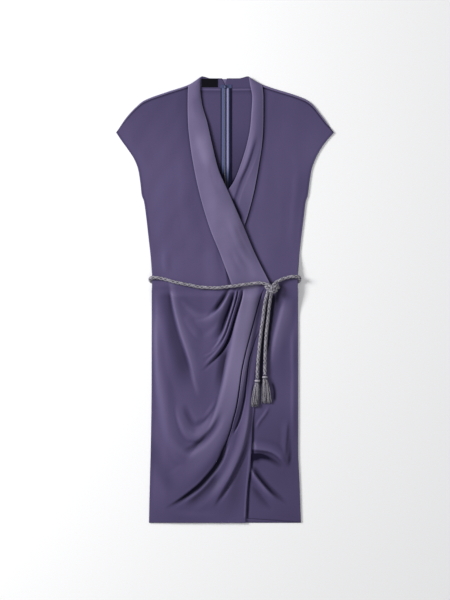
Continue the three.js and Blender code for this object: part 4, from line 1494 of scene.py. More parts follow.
OVER_RIDGES = (
    # The broad band that runs on from the lapel.
    Fold(5.8, 23, 33, 0.06, 0.38, (
        (55, 26.7), (48.1, -23.9), (38.9, -69.9), (30.8, -118.2), (21.6, -166.5), (11.3, -212.5),
        (-0.2, -253.9), (-16.3, -295.3), (-39.3, -339), (-69.2, -375.8), (-103.7, -408), (-142.8, -437.9),
    ), 1.15, Profile.FLAT),
    # The side ridge, left of the long crease.
    Fold(2.5, 26, 30, 0.2, 0.3, (
        (-149.7, 17.5), (-147.4, -35.4), (-142.8, -81.4), (-133.6, -127.4), (-124.4, -173.4),
        (-115.2, -212.5),
    ), 1.2),
    # The bright edge of the long crease.
    Fold(2.4, 8, 34, 0.08, 0.35, (
        (-121, 26.7), (-115.2, -12.4), (-104.9, -56.1), (-89.9, -104.4), (-73.8, -152.7), (-57.7, -207.9),
    ), 1.3),
    # Upper swag.
    Fold(1.8, 12, 14, 0.3, 0.1, (
        (-112.9, 8.3), (-96.8, -7.8), (-80.7, -21.6), (-64.6, -32), (-48.5, -37.7), (-32.4, -38.9),
    )),
    # First pleat.
    Fold(5.5, 7, 20, 0.05, 0.6, (
        (14.7, 29), (6.7, 6), (-4.8, -14.7), (-20.9, -32), (-39.3, -44.6), (-62.3, -51.5), (-85.3, -49.2),
    ), 1.6),
    # Second swag.
    Fold(2.2, 14, 20, 0.3, 0.3, (
        (-99.1, -28.5), (-87.6, -49.2), (-75, -67.6), (-62.3, -82.6), (-46.2, -88.3),
    )),
    # Third swag.
    Fold(1.6, 10, 14, 0.3, 0.2, ((-89.9, -92.9), (-80.7, -111.3), (-69.2, -125.1), (-57.7, -132))),
    # Second pleat.
    Fold(6, 4.5, 6, 0.05, 0.45, (
        (27.4, 29), (22.1, 3.7), (15.2, -22.8), (6, -51.5), (-3.2, -79.1), (-14, -101), (-27.8, -118.2),
        (-43.9, -128.6), (-62.3, -134.3),
    ), 1.5),
    # Third pleat.
    Fold(5.5, 5, 6.5, 0.05, 0.5, (
        (35, 29), (29.7, 3.7), (21.8, -23.9), (13.1, -53.8), (4.4, -79.1), (-4.8, -99.8), (-18.6, -119.4),
        (-33.6, -136.6), (-49.7, -152.7), (-66.9, -166.5),
    ), 1.3),
    # Outer swag.
    Fold(4, 18, 26, 0.25, 0.4, (
        (-163.5, 10.6), (-158.9, -69.9), (-153.2, -138.9), (-145.1, -207.9), (-139.4, -242.4),
        (-133.6, -276.9), (-125.6, -309.1), (-112.9, -339), (-96.8, -364.3), (-78.4, -368.9),
        (-57.7, -355.1), (-39.3, -336.7), (-20.9, -313.7), (-4.8, -286.1),
    ), 1.4),
    # Inner swag.
    Fold(4.5, 12, 26, 0.3, 0.4, (
        (-112.9, -230.9), (-107.2, -258.5), (-99.1, -286.1), (-88.8, -308), (-76.1, -318.3),
        (-62.3, -318.3), (-47.4, -306.8), (-33.6, -293), (-20.9, -273.5), (-9.4, -249.3), (-0.2, -224),
    )),
    # Streak above the inner swag.
    Fold(1.8, 6, 10, 0.4, 0.4, (
        (-66.9, -286.1), (-53.1, -278.1), (-39.3, -263.1), (-26.7, -244.7), (-16.3, -224),
    )),
    # Long ridge beside the band.
    Fold(6, 17, 10, 0.35, 0.3, (
        (60.7, -173.4), (55.7, -235.5), (51.7, -276.9), (45.3, -313.7), (37.7, -343.6), (27.4, -371.2),
        (15.9, -396.5), (2.1, -419.5), (-12.9, -442.5), (-29, -467.8), (-41.6, -488.5),
    ), 1.3),
    # Narrow ridge between the two slots.
    Fold(2.5, 5, 4, 0.2, 0.3, (
        (73.4, -42.3), (63, -81.4), (55.7, -115.9), (48.1, -152.7), (42.3, -189.5), (36.6, -226.3),
        (29.7, -258.5),
    )),
)
OVER_TROUGHS = (
    # The long crease.
    Fold(-4.2, 34, 7, 0.1, 0.4, (
        (-130.6, 31.3), (-128.3, 15.2), (-125.3, -3.2), (-121.2, -26.2), (-114.8, -51.5), (-107.2, -81.4),
        (-99.6, -103.3), (-92.2, -125.1), (-85.3, -149.3), (-78.9, -175.7), (-71.5, -205.6),
        (-62.3, -230.9),
    ), 1.2),
    # Above the first pleat.
    Fold(-4.5, 12, 4, 0.08, 0.4, ((10.1, 26.7), (0.5, 6), (-9.4, -9), (-19.8, -22.8), (-37, -33.1))),
    # Above the second pleat.
    Fold(-5, 18, 3.5, 0.08, 0.4, (
        (23.5, 22.1), (17.5, -0.9), (10.1, -26.2), (2.1, -49.2), (-6, -69.9), (-16.3, -86), (-32.4, -97.5),
    )),
    # Between the second and the third pleat.
    Fold(-4, 2.5, 2.5, 0.05, 0.45, (
        (31.5, 26.7), (26.2, 1.4), (18.6, -23.9), (9.7, -51.5), (0.9, -79.1), (-9.4, -98.7),
        (-24.4, -115.9),
    ), 1, Profile.SHARP),
    # Hair crease in the second pleat.
    Fold(-2, 2.5, 2.5, 0.3, 0.3, (
        (2.1, -69.9), (-8.3, -92.9), (-23.2, -112.5), (-39.3, -122.8), (-53.1, -127.4),
    ), 1, Profile.SHARP),
    # Slot beside the band.
    Fold(-9, 3.4, 4.6, 0.03, 0.5, (
        (41.2, 26.7), (35.6, -0.9), (27.1, -28.5), (18.9, -56.1), (11.7, -81.4), (4.4, -98.7), (-6, -115.9),
        (-18.6, -131.3), (-31, -143.5), (-43.9, -156.4), (-60, -170),
    ), 1.3),
    # Pocket under the pleats.
    Fold(-3.5, 18, 5, 0.3, 0.5, (
        (9, -97.5), (2.1, -129.7), (-4.1, -161.9), (-9.4, -194.1), (-16.3, -226.3),
    )),
    # Band's edge.
    Fold(-7, 1.7, 2.2, 0.05, 0.2, (
        (90.2, 27.8), (82.6, 8.3), (76.1, -12.4), (66, -50.6), (54.5, -93.8), (45.5, -129.7),
        (37.9, -166.5), (34.3, -194.1), (29.7, -226.3), (24.6, -253.9), (18.2, -276.9), (12.4, -299.9),
        (4.4, -322.9), (-3.7, -343.6), (-11.7, -364.3), (-25.5, -387.3), (-41.6, -405.7), (-57.7, -424.1),
    ), 1.5, Profile.SHARP),
    # Under the band.
    Fold(-10.5, 4.5, 13, 0.2, 0.5, (
        (7.8, -318.3), (-3.7, -343.6), (-12.9, -366.6), (-26.7, -388.5), (-42.8, -408), (-60, -426.4),
        (-78.4, -441.4), (-96.8, -455.2), (-117.5, -469), (-142.8, -483.9),
    ), 0.9),
    # Low ground right of the band.
    Fold(-4, 12, 24, 0.3, 0.3, ((-7.1, -387.3), (-30.1, -424.1), (-60, -454), (-94.5, -479.3))),
    # Second slot.
    Fold(-5, 1.6, 2, 0.12, 0.2, (
        (81.4, -60.7), (78, -72.2), (71.1, -88.3), (63.5, -111.8), (56.1, -134.8), (52, -160.3),
        (49, -187.2), (45.3, -219.4), (39.6, -249.3), (33.1, -272.3), (25.1, -293), (18.2, -311.4),
    ), 1.8, Profile.SHARP),
    # Second slot's wide end.
    Fold(-8, 3.4, 4.4, 0.3, 0.4, (
        (48.1, -198.7), (44.8, -224), (40.2, -247), (33.8, -272.3), (25.1, -295.3), (17, -313.7),
    )),
    # Valley right of the long ridge.
    Fold(-3.5, 5, 12, 0.25, 0.3, (
        (55, -313.7), (48.1, -339), (37.7, -364.3), (26.2, -387.3), (14.7, -410.3), (2.1, -433.3),
        (-11.7, -456.3), (-25.5, -479.3),
    )),
    # Valley under the inner swag.
    Fold(-3.5, 16, 10, 0.35, 0.35, (
        (-101.4, -357.4), (-85.3, -345.9), (-69.2, -336.7), (-53.1, -326.4), (-38.2, -311.4), (-24.4, -293),
        (-11.7, -268.9), (-2.5, -244.7),
    )),
    # Valley inside the inner swag.
    Fold(-2, 12, 12, 0.3, 0.3, (
        (-94.5, -235.5), (-83, -265.4), (-66.9, -286.1), (-48.5, -276.9), (-34.7, -253.9),
    )),
)
UNDER_RIDGES = (
    # Ridge beside the rope.
    Fold(4, 13, 34, 0.2, 0.45, (
        (142.4, 12.9), (134.3, -28.5), (125.1, -65.3), (117.1, -99.8), (111.3, -134.3), (109, -161.9),
        (107.9, -184.9),
    )),
    # Ridge below the tassels.
    Fold(2.2, 5, 6, 0.3, 0.3, ((103.3, -242.4), (91.8, -263.1), (79.1, -280.4), (68.8, -302.2))),
    # Cowl's edge.
    Fold(6.5, 5, 26, 0.02, 0.3, (
        (45.8, -342.5), (71.1, -344.8), (91.8, -346.6), (107.9, -350.5), (121.7, -358.6), (135.5, -372.4),
        (145.8, -387.3),
    )),
    # Low ridge.
    Fold(5.5, 14, 5, 0.04, 0.45, (
        (48.1, -372.4), (59.6, -390.8), (73.4, -410.3), (89.5, -429.9), (107.9, -450.6), (128.6, -472.4),
    ), 1.3),
    # Side wedge.
    Fold(2.4, 18, 5, 0.3, 0.25, ((143.5, -272.3), (141.2, -309.1), (138.9, -343.6), (141.2, -373.5))),
    # Side ridge.
    Fold(1.6, 10, 10, 0.3, 0.3, ((156.2, -46.9), (158.5, -161.9), (158.5, -276.9), (160.8, -345.9))),
)
UNDER_TROUGHS = (
    # Under the cowl.
    Fold(-6, 11, 5, 0.02, 0.3, (
        (48.1, -359.3), (66.5, -357), (84.9, -357), (103.3, -363.4), (119.4, -374.9), (134.3, -388.7),
    )),
    # Cowl's deep pocket.
    Fold(-6, 14, 8, 0.02, 0.4, ((48.1, -363.2), (61.9, -364.3), (73.4, -367.8), (84.9, -375.8))),
    # Gap beside the free edge.
    Fold(-3, 4, 5, 0.2, 0.1, (
        (63, -265.4), (63.2, -322.9), (60.7, -373.5), (56.1, -426.4), (52.7, -502.3),
    )),
    # Along the low ridge.
    Fold(-5, 3.5, 12, 0.08, 0.4, (
        (61.9, -382.7), (72.2, -401.1), (84.9, -417.2), (103.3, -437.9), (124, -456.3), (147, -477),
    )),
    # Low valley.
    Fold(-2.5, 9, 6, 0.2, 0.3, ((57.3, -424.1), (78, -448.3), (96.4, -470.1), (110.2, -486.2))),
    # Side crease.
    Fold(-3, 4, 7, 0.35, 0.3, ((146.1, -309.1), (148.4, -336.7), (149.7, -359.7), (147, -387.3))),
)
# Painted highlights on the skirt's over front: folds whose rise is how much lighter its colour is made.
PAINTED_SHEEN_OVER = (
    # The upper swag.
    Fold(0.17, 14, 14, 0.3, 0.3, ((-106, -5.5), (-85.3, -26.2), (-62.3, -40), (-37, -40), (-18.6, -28.5))),
    # Under the first pleat.
    Fold(0.16, 10, 12, 0.25, 0.4, (
        (6.7, -14.7), (-7.1, -42.3), (-25.5, -65.3), (-46.2, -83.7), (-66.9, -92.9),
    )),
    # Where the long crease ends.
    Fold(0.2, 8, 11, 0.4, 0.3, ((-87.6, -148.1), (-77.3, -175.7), (-66.9, -203.3), (-60, -228.6))),
    # The hem.
    Fold(0.13, 14, 12, 0.3, 0.3, ((-131.3, -483.9), (-92.2, -490.8), (-53.1, -493.1), (-11.7, -488.5))),
    # The band.
    Fold(0.82, 21, 28, 0.01, 0.55, (
        (57.3, 42.8), (55, 29), (48.1, -23.9), (38.9, -69.9), (30.8, -118.2), (21.6, -166.5),
        (11.3, -212.5), (-0.2, -253.9), (-16.3, -295.3), (-39.3, -339),
    ), 1.2, Profile.FLAT),
    # The lower band.
    Fold(0.3, 24, 28, 0.5, 0.4, (
        (15.9, -196.4), (-0.2, -253.9), (-20.9, -299.9), (-50.8, -350.5), (-89.9, -396.5), (-131.3, -428.7),
    ), 1.3),
    # The long crease's edge.
    Fold(0.28, 5, 14, 0.03, 0.4, (
        (-129, 42.8), (-123.3, 29), (-119.8, -0.9), (-111.8, -42.3), (-99.1, -83.7), (-85.3, -125.1),
        (-71.5, -171.1), (-60, -219.4),
    ), 1.5),
    # The first pleat.
    Fold(0.32, 4, 17, 0.03, 0.6, (
        (20.5, 40.5), (15.9, 26.7), (6.7, 3.7), (-6, -17), (-23.2, -35.4), (-43.9, -49.2), (-66.9, -56.1),
    ), 1.5),
    # The second pleat.
    Fold(0.28, 3.5, 3.5, 0.03, 0.5, (
        (31, 38.2), (27.4, 22.1), (21.2, -0.9), (13.1, -28.5), (3.9, -56.1), (-7.1, -81.4), (-20.9, -103.3),
        (-39.3, -122.8),
    )),
    # The side.
    Fold(0.2, 12, 22, 0.3, 0.4, (
        (-172.7, 22.1), (-165.8, -69.9), (-160.1, -138.9), (-149.7, -219.4), (-133.6, -288.4),
    )),
    # Between the slots.
    Fold(0.42, 4, 5, 0.1, 0.2, (
        (73.4, -42.3), (61.9, -86), (54, -120.5), (46.7, -157.3), (40.7, -194.1), (34.7, -230.9),
        (27.4, -267.7),
    )),
    # Right of the second slot.
    Fold(0.24, 5, 7, 0.25, 0.3, (
        (74.5, -88.3), (66.5, -120.5), (60.7, -157.3), (57.3, -198.7), (53.8, -240.1), (49.2, -281.5),
        (41.2, -322.9), (29.7, -359.7),
    )),
    # Outer swag's foot.
    Fold(0.18, 14, 14, 0.4, 0.4, (
        (-131.3, -304.5), (-108.3, -341.3), (-80.7, -355.1), (-48.5, -336.7), (-20.9, -299.9),
    )),
    # Inner swag's foot.
    Fold(0.2, 10, 16, 0.4, 0.4, (
        (-103.7, -272.3), (-85.3, -302.2), (-62.3, -309.1), (-34.7, -286.1), (-11.7, -244.7),
    )),
    # The long ridge.
    Fold(0.22, 13, 7, 0.3, 0.4, (
        (57.3, -219.4), (52.7, -276.9), (44.6, -318.3), (34.3, -350.5), (20.5, -385), (2.1, -417.2),
        (-18.6, -449.4), (-39.3, -479.3),
    ), 1.3),
    # The free edge.
    Fold(0.4, 3, 3, 0.2, 0.02, (
        (56.8, -322.9), (55, -364.3), (51.3, -403.4), (47.1, -449.4), (44.8, -502.3),
    )),
)
# Painted shade and painted shadows on the skirt's over front: folds whose rise is how much darker its colour
# is made.
SHADE_OVER = (
    # Left of the long crease.
    Fold(-0.2, 34, 4, 0.05, 0.3, (
        (-134.8, 40.5), (-130.2, 22.1), (-124.4, -23.9), (-110.6, -81.4), (-94.5, -129.7), (-80.7, -175.7),
        (-69.2, -219.4),
    )),
    # Above the first pleat.
    Fold(-0.34, 13, 3, 0.04, 0.4, (
        (13.6, 35.9), (7.8, 22.1), (-1.4, 3.7), (-11.7, -12.4), (-23.2, -26.2), (-37, -35.4),
    )),
    # Above the second pleat.
    Fold(-0.36, 13, 3, 0.04, 0.4, (
        (27.4, 33.6), (22.8, 17.5), (15.9, -5.5), (8.5, -28.5), (-0.2, -53.8), (-9.4, -74.5),
        (-23.2, -92.9),
    )),
    # The slot's wide part.
    Fold(-0.4, 5, 4, 0.3, 0.4, (
        (19.3, -51.5), (11.7, -79.1), (4.4, -102.1), (-7.1, -122.8), (-23.2, -141.2), (-41.6, -157.3),
    )),
    # The pocket.
    Fold(-0.3, 22, 6, 0.25, 0.6, ((6.7, -106.7), (-1.4, -138.9), (-7.1, -173.4), (-12.9, -212.5))),
    # Under the band.
    Fold(-0.46, 6, 15, 0.2, 0.5, (
        (2.1, -332.1), (-11.7, -366.6), (-32.4, -397.7), (-57.7, -425.3), (-83, -444.8), (-115.2, -467.8),
        (-142.8, -483.9),
    ), 0.9),
    # Beside the left rope.
    Fold(-0.4, 4, 8, 0.1, 0.2, (
        (95.2, 12.9), (90.9, -28.5), (86.3, -69.9), (83.5, -111.3), (80.7, -152.7), (79.8, -189.5),
    )),
    # Line along the band.
    Fold(-0.85, 1.3, 1.6, 0.02, 0.2, (
        (90.2, 27.8), (82.6, 8.3), (76.1, -12.4), (66, -50.6), (54.5, -93.8), (45.5, -129.7),
        (37.9, -166.5), (34.3, -194.1), (29.7, -226.3), (24.6, -253.9), (18.2, -276.9),
    ), 1.4),
    # Line of the second slot.
    Fold(-0.6, 1.2, 1.5, 0.1, 0.2, (
        (81.4, -60.7), (78, -72.2), (71.1, -88.3), (63.5, -111.8), (56.1, -134.8), (52, -160.3),
        (49, -187.2), (45.3, -219.4), (39.6, -249.3),
    ), 1.4),
    # Between the ropes.
    Fold(-1.4, 3.2, 3.4, 0.1, 0.1, (
        (96.8, 1.4), (93.8, -23.9), (90.2, -63), (87.6, -92.9), (85.6, -115.9), (83.5, -143.5),
        (82.8, -166.5), (81.7, -207.9),
    ), 1.2, Profile.FLAT),
    # Left of the left rope.
    Fold(-0.7, 2.5, 3.5, 0.35, 0.1, ((78, -115.9), (72.9, -138.9), (69.2, -166.5), (66, -194.1))),
    # Left of the left tassel.
    Fold(-0.7, 2.5, 4, 0.2, 0.2, ((66, -189.5), (62.8, -205.6), (60.9, -224), (60.5, -242.4))),
    # The lower left.
    Fold(-0.24, 24, 28, 0.35, 0.35, (
        (-172.7, -299.9), (-158.9, -357.4), (-138.2, -410.3), (-108.3, -456.3),
    )),
    # Between the swags.
    Fold(-0.22, 14, 10, 0.35, 0.35, (
        (-99.1, -359.7), (-76.1, -343.6), (-50.8, -325.2), (-27.8, -298.8), (-9.4, -263.1),
    )),
)
# Painted highlights on the skirt's under front: folds whose rise is how much lighter its colour is made.
PAINTED_SHEEN_UNDER = (
    # Beside the rope.
    Fold(0.3, 14, 34, 0.2, 0.5, (
        (140.1, 8.3), (130.9, -33.1), (120.5, -69.9), (112.5, -104.4), (107.9, -134.3), (106.7, -166.5),
    )),
    # The cowl.
    Fold(0.2, 4, 24, 0.1, 0.3, (
        (57.3, -341.3), (80.3, -343.6), (103.3, -349.4), (121.7, -359.7), (137.8, -380.4),
    )),
    # The low ridge.
    Fold(0.3, 12, 4, 0.1, 0.5, (
        (55, -378.1), (71.1, -405.7), (89.5, -429.9), (110.2, -454), (133.2, -479.3),
    ), 1.3),
    # The side.
    Fold(0.12, 20, 14, 0.3, 0.3, ((149.3, -0.9), (153.9, -138.9), (151.6, -253.9), (144.7, -322.9))),
)
# Painted shade and painted shadows on the skirt's under front: folds whose rise is how much darker its colour
# is made.
SHADE_UNDER = (
    # Right of the right rope.
    Fold(-1.4, 6, 6, 0.05, 0.12, (
        (109.7, 12.9), (109.3, -5.5), (107.9, -23.9), (105.6, -44.6), (103, -65.3), (100.5, -90.6),
        (97.3, -113.6), (96.4, -125.1),
    ), 0.5, Profile.FLAT),
    # Right of the knot.
    Fold(-0.85, 9, 10, 0.3, 0.3, (
        (130.9, 42.8), (127.4, 31.3), (122.8, 17.5), (118.2, 1.4), (114.8, -14.7),
    )),
    # Between the ropes.
    Fold(-1.4, 3.2, 3.4, 0.1, 0.1, (
        (96.8, 1.4), (93.8, -23.9), (90.2, -63), (87.6, -92.9), (85.6, -115.9), (83.5, -143.5),
        (82.8, -166.5), (81.7, -207.9),
    ), 1.2, Profile.FLAT),
    # Right of the right tassel.
    Fold(-1, 5, 8, 0.3, 0.2, (
        (102.1, -182.6), (109.3, -196.4), (112.9, -210.2), (113.4, -224), (111.6, -237.8),
    )),
    # Under the cowl.
    Fold(-1.2, 18, 8, 0.02, 0.75, (
        (50.4, -362), (68.8, -358.8), (84.9, -359.7), (103.3, -366.6), (121.7, -379.5),
    ), 0.5),
    # Along the low ridge.
    Fold(-0.2, 4, 14, 0.1, 0.5, ((64.2, -385), (78, -408), (96.4, -431), (119.4, -452.9), (144.7, -474.7))),
    # Below the low ridge.
    Fold(-0.2, 14, 14, 0.3, 0.4, ((59.6, -428.7), (78, -456.3), (98.7, -483.9))),
    # Beside the free edge.
    Fold(-0.9, 3.5, 5, 0.2, 0.02, (
        (64.2, -249.3), (64.6, -299.9), (63.7, -348.2), (60.9, -387.3), (56.3, -417.2), (53.1, -456.3),
        (51.3, -506.9),
    )),
)


@dataclass
class ClothPanels:
    """The cut pieces of the dress: backs, bodices, lapels, skirt fronts and collar."""

    layers: Layers = LAYERS
    cloth: float = 1.2
    strip: float = 4.6
    strip_gap: float = 1.0
    tip_reach: float = 250.0
    neck_point: float = 492.0
    loft: float = 5.0
    waist_low: float = 35.0
    waist_high: float = 44.0
    last_row: float = 470.0
    crisp: float = 0.0015
    dye_depth: float = 0.05
    dye_waves: tuple[float, float] = (120.0, 300.0)
    skirt_waves: tuple[float, float] = (50.0, 160.0)
    strip_tone: float = 0.5
    lapel_tone: float = 0.42
    lapel_under_tone: float = 0.18
    collar_tone: float = -0.18
    notch_tone: float = 0.45
    bodice_columns: int = 104
    lapel_columns: int = 40
    over_columns: int = 176
    under_columns: int = 112
    neck_inset: float = 1.5
    neck_slant: float = 24.0
    collar_foot: float = 81.0
    collar_head: float = 53.5
    collar_low: float = 485.3
    collar_top: float = 508.4
    collar_lift: float = 4.6
    parted_from: float = 0.48
    fan_from: float = 300.0

    def painted_crease_shade(self, height: Array, cuts: Array) -> Array:
        """Painted shade in creases and a slight painted highlight on crests: by their depth below what is
        beside them, and by their cut.

        Args:
            height: heights above the layer below, as rows by columns.
            cuts: the depth of the troughs laid into them, 0 or less.

        Returns:
            A tone, negative in creases and slightly positive on crests.
        """
        depth = hollow(height, 4)
        return np.clip(0.06 * cuts - 0.16 * np.maximum(depth, 0.0) - 0.05 * np.minimum(depth, 0.0), -0.9, 0.3)

    def _sheet(
        self,
        shape: Shape,
        node: str,
        wardrobe: Wardrobe,
    ) -> None:
        thing = place_piece(shape.mesh(node + "_cloth"), Slot.CLOTH, wardrobe, node)

    def painted_shadow(self, distance: Array, reach: float, depth: Array | float) -> Array:
        """A painted shadow: the soft dark line that an edge casts on the layer below it.

        Args:
            distance: how far each place lies outside the edge.
            reach: where the dark ends.
            depth: how dark it is at the edge.

        Returns:
            A tone, 0 beyond the reach.
        """
        return -depth * (1.0 - np.clip(distance / reach, 0.0, 1.0)) ** 1.6

    def dye(self, x: Array, y: Array, seed: int) -> Array:
        """The slight long-waved unevenness of the cloth's colour."""
        return self.dye_depth * ripple(x, y, seed, 1.0, self.dye_waves)

    def turned_edge(self, inward: Array, y: Array) -> Array:
        """The darker line where the armhole's turned edge ends, a few millimetres inside the edge."""
        return 0.28 * np.exp(-(((inward - 3.4) / 1.6) ** 2)) * step(120, 170, y)

    def shoulder_line(self, shoulder: Edge, x: Array, y: Array) -> Array:
        """The dark line of the shoulder seam on a front."""
        return 0.55 * np.exp(-(((self.shoulder_seam(shoulder)(x) - y) / 2.2) ** 2))

    def neck_seam(self, x: Array) -> Array:
        """The seam under the collar, straight between its points and far above beyond them.

        Args:
            x: places across the dress.

        Returns:
            The seam's level at each place.
        """
        far, ends = np.abs(x), NECK_SEAM.column("x")
        return np.where(far > ends[-1], np.inf, np.interp(far, ends, NECK_SEAM.column("y")))

    def strip_depth(self, x: Array) -> Array:
        """How far the back is turned forward over the shoulder edge."""
        return self.strip * (1.0 - step(228, 249, np.abs(x)))

    def shoulder_seam(self, shoulder: Edge) -> Edge:
        """Where a front ends below the shoulder's turned strip."""
        return lambda x: shoulder(x) - self.strip_depth(x) * (1.0 + self.strip_gap / self.strip)

    def _back(self, sign: int) -> Shape:
        """One back, turned forward over the shoulder edge and as high there as the front.

        Args:
            sign: -1 for the back on the left, 1 for the one on the right.

        Returns:
            The back's wall.
        """
        side, shoulder = (side_left, shoulder_left) if sign < 0 else (side_right, shoulder_right)
        layers, centre = self.layers, self.layers.gap / 2.0 * sign
        levels = between((HEM, 8), (layers.swell_foot, 4), (layers.swell_head, 5), (self.last_row, 1))
        ends = (TIP, 485.0) if sign < 0 else (485.0, TIP)
        left, right = slanted(levels, layers.swell_head, *ends)
        far = np.concatenate([np.linspace(self.tip_reach, 84, 40), np.linspace(82, abs(centre), 24)])
        across = (self.tip_reach - far) / (self.tip_reach - abs(centre))
        columns = across if sign < 0 else 1.0 - across[::-1]
        middle = steady(centre)
        grid = Grid(
            left, right, columns,
            side if sign < 0 else middle,
            middle if sign < 0 else side,
            steady(HEM),
            lambda x: np.minimum(shoulder(x), self.neck_seam(x)),
            (HEM, layers.swell_head),
        )
        x, y = grid.points()
        last_x, last_y = x[-1:], y[-1:]
        depth = self.strip_depth(last_x)
        x = np.vstack([x[:-1], last_x, last_x, last_x])
        y = np.vstack([y[:-1], last_y - depth, last_y - 0.9 * depth, last_y])
        low = layers.back(x, y)
        far_x = np.abs(last_x)
        raised = layers.layer * step(80, 90, far_x) * (1.0 - step(228, 246, far_x))
        thickness = np.full(x.shape, self.cloth)
        thickness[-2:] += raised
        tone = np.zeros(x.shape)
        tone[-2:] = self.strip_tone
        near_side = np.minimum(side_right(y[:-2]) - x[:-2], x[:-2] - side_left(y[:-2]))
        tone[:-2] -= self.turned_edge(near_side, y[:-2])
        # Painted shade on the back's inside where it shows in the neck opening: the shadows of the lapels'
        # loose edges, darker overall and more so towards the bottom of the V, and a dark line below the
        # collar.
        inside = step(150, 240, y) * (1.0 - step(60, 75, np.abs(x)))
        edges = self.painted_shadow(x - over_inner(y), 11, 0.75) + self.painted_shadow(under_inner(y) - x, 6, 0.35)
        painted_v_shade = 0.15 + 0.38 * (1.0 - step(260, 420, y)) + 0.75 * (1.0 - step(250, 292, y))
        tone = tone + inside * (edges - painted_v_shade - 0.25 * (1.0 - step(0, 12, np.abs(y - self.neck_point + 10))))
        return cloth_shell(x, y, low, thickness, tone)

    def _bodice_over(self) -> Shape:
        """The bodice that laps over, from the waist seam to the shoulder seam.

        Returns:
            The bodice's wall.
        """
        layers = self.layers
        levels = between((self.waist_low, 3), (layers.swell_head, 3.2), (self.last_row, 1))
        left, right = slanted(levels, layers.swell_head, TIP, self.neck_point - self.neck_inset)
        right = right + (waist(np.array([106.0]))[0] - self.waist_low) * (levels == levels[0])
        grid = Grid(
            left, right, shares(self.bodice_columns, self.crisp), side_left,
            lambda y: over_inner(y) - self.neck_inset - self.neck_slant * step(474, self.neck_point, y),
            layers.above_waist,
            self.shoulder_seam(shoulder_left),
            (layers.swell_head, layers.swell_head),
        )
        x, y = grid.points()
        clear = step(0, 30, over_outer(y) - x) * step(4, 30, x - side_left(y)) * step(60, 110, y)
        fine = ripple(x, y, 3, 0.55) * clear + summed(FINE_BODICE_OVER, x, y) * step(52, 80, y)
        low = above(layers.bodice_over(x, y) + fine, layers.bodice_over(x, y) - 0.3)
        # Painted shade: darker towards the shoulders, in the tuck beside the lapel, and beside the lapel's
        # outer edge as its shadow.
        tone = self.dye(x, y, 31) - 0.20 * step(280, 470, y)
        outer = over_outer(y) - x
        tone = tone + SHADE_TUCK.height(x, y) - self.shoulder_line(shoulder_left, x, y)
        tone = tone - self.turned_edge(x - side_left(y), y)
        tone = tone + self.painted_shadow(outer, 7, 0.40 + 0.35 * (1.0 - step(60, 150, y))) + self.painted_shadow(outer, 36, 0.12)
        return cloth_shell(x, y, low, self.cloth, tone)

    def _bodice_under(self) -> Shape:
        """The bodice that lies under, from the waist seam to the shoulder seam.

        Returns:
            The bodice's wall.
        """
        layers = self.layers
        levels = between((self.waist_low, 3), (layers.swell_head, 3.2), (self.last_row, 1))
        left, right = slanted(levels, layers.swell_head, self.neck_point - self.neck_inset, TIP)
        grid = Grid(
            left, right, shares(self.bodice_columns, self.crisp),
            lambda y: under_inner(y) + self.neck_inset + self.neck_slant * step(474, self.neck_point, y),
            side_right,
            layers.above_waist,
            self.shoulder_seam(shoulder_right),
            (layers.swell_head, layers.swell_head),
        )
        x, y = grid.points()
        hidden = np.maximum(over_inner(y), under_outer(y))
        clear = step(2, 30, x - hidden) * step(4, 30, side_right(y) - x) * step(60, 110, y)
        fine = ripple(x, y, 4, 0.55) * clear + summed(FINE_BODICE_UNDER, x, y) * clear
        low = above(layers.front(x, y) + fine, layers.front(x, y) - 0.2)
        # Painted shade: darker towards the shoulders, and the shadows of both lapels' edges beside them.
        tone = 0.04 + self.dye(x, y, 32) - 0.14 * step(280, 470, y)
        painted_lapel_shadows = self.painted_shadow(x - under_outer(y), 12, 1.1), self.painted_shadow(x - over_inner(y), 12, 1.0)
        tone = tone + np.minimum(*painted_lapel_shadows)
        tone = tone - self.shoulder_line(shoulder_right, x, y) - self.turned_edge(side_right(y) - x, y)
        return cloth_shell(x, y, low, self.cloth, tone)

    def _lapel(self, over: bool) -> Shape:
        """A lapel, rolled a little between its turned edge and its loose one.

        Args:
            over: whether it is the lapel of the front that laps over.

        Returns:
            The lapel's wall.
        """
        layers = self.layers
        levels = between((self.waist_low, 2.5), (layers.swell_head, 2.5), (self.fan_from, 2.5), (500.0, 1))
        ends = (494.0, 508.0) if over else (508.0, 494.0)
        left, right = slanted(levels, self.fan_from, *ends)
        grid = Grid(
            left, right, shares(self.lapel_columns, 0.004),
            over_outer if over else under_inner,
            over_inner if over else under_outer,
            layers.above_waist,
            shoulder_left if over else shoulder_right,
            (layers.swell_head, self.fan_from),
        )
        x, y = grid.points()
        low = layers.lapel_over(x, y) if over else layers.lapel_under(x, y)
        ground = low - 0.35
        folds = FINE_LAPEL_OVER if over else FINE_LAPEL_UNDER
        hidden = 1.0 if over else step(0, 10, x - over_inner(y))
        fine = (summed(folds, x, y) + ripple(x, y, 11 + over, 0.3, (30, 90))) * step(56, 90, y) * hidden
        # Painted sheen: the lapel's colour is made lighter for its satin face, with slight random changes.
        tone = self.lapel_tone + 0.06 * ripple(x, y, 21 + over, 1.0, (60, 200))
        turned = x - over_outer(y) if over else under_outer(y) - x
        loose = over_inner(y) - x if over else x - under_inner(y)
        # Painted highlights along the turned and the loose edge.
        tone = tone + 0.40 * np.exp(-((turned / 1.6) ** 2)) + 0.25 * np.exp(-((loose / 1.5) ** 2))
        # Painted light and shade along the folds; on the under lapel, also the over lapel's painted shadow.
        if over:
            tone = tone + summed(PAINTED_SHEEN_AND_SHADE_LAPEL_OVER, x, y)
        else:
            tone = tone - self.lapel_under_tone + summed(PAINTED_SHEEN_AND_SHADE_LAPEL_UNDER, x, y)
            tone = tone + self.painted_shadow(x - over_inner(y), 10, 1.1)
        return cloth_shell(x, y, above(low + fine, ground), self.cloth, tone)

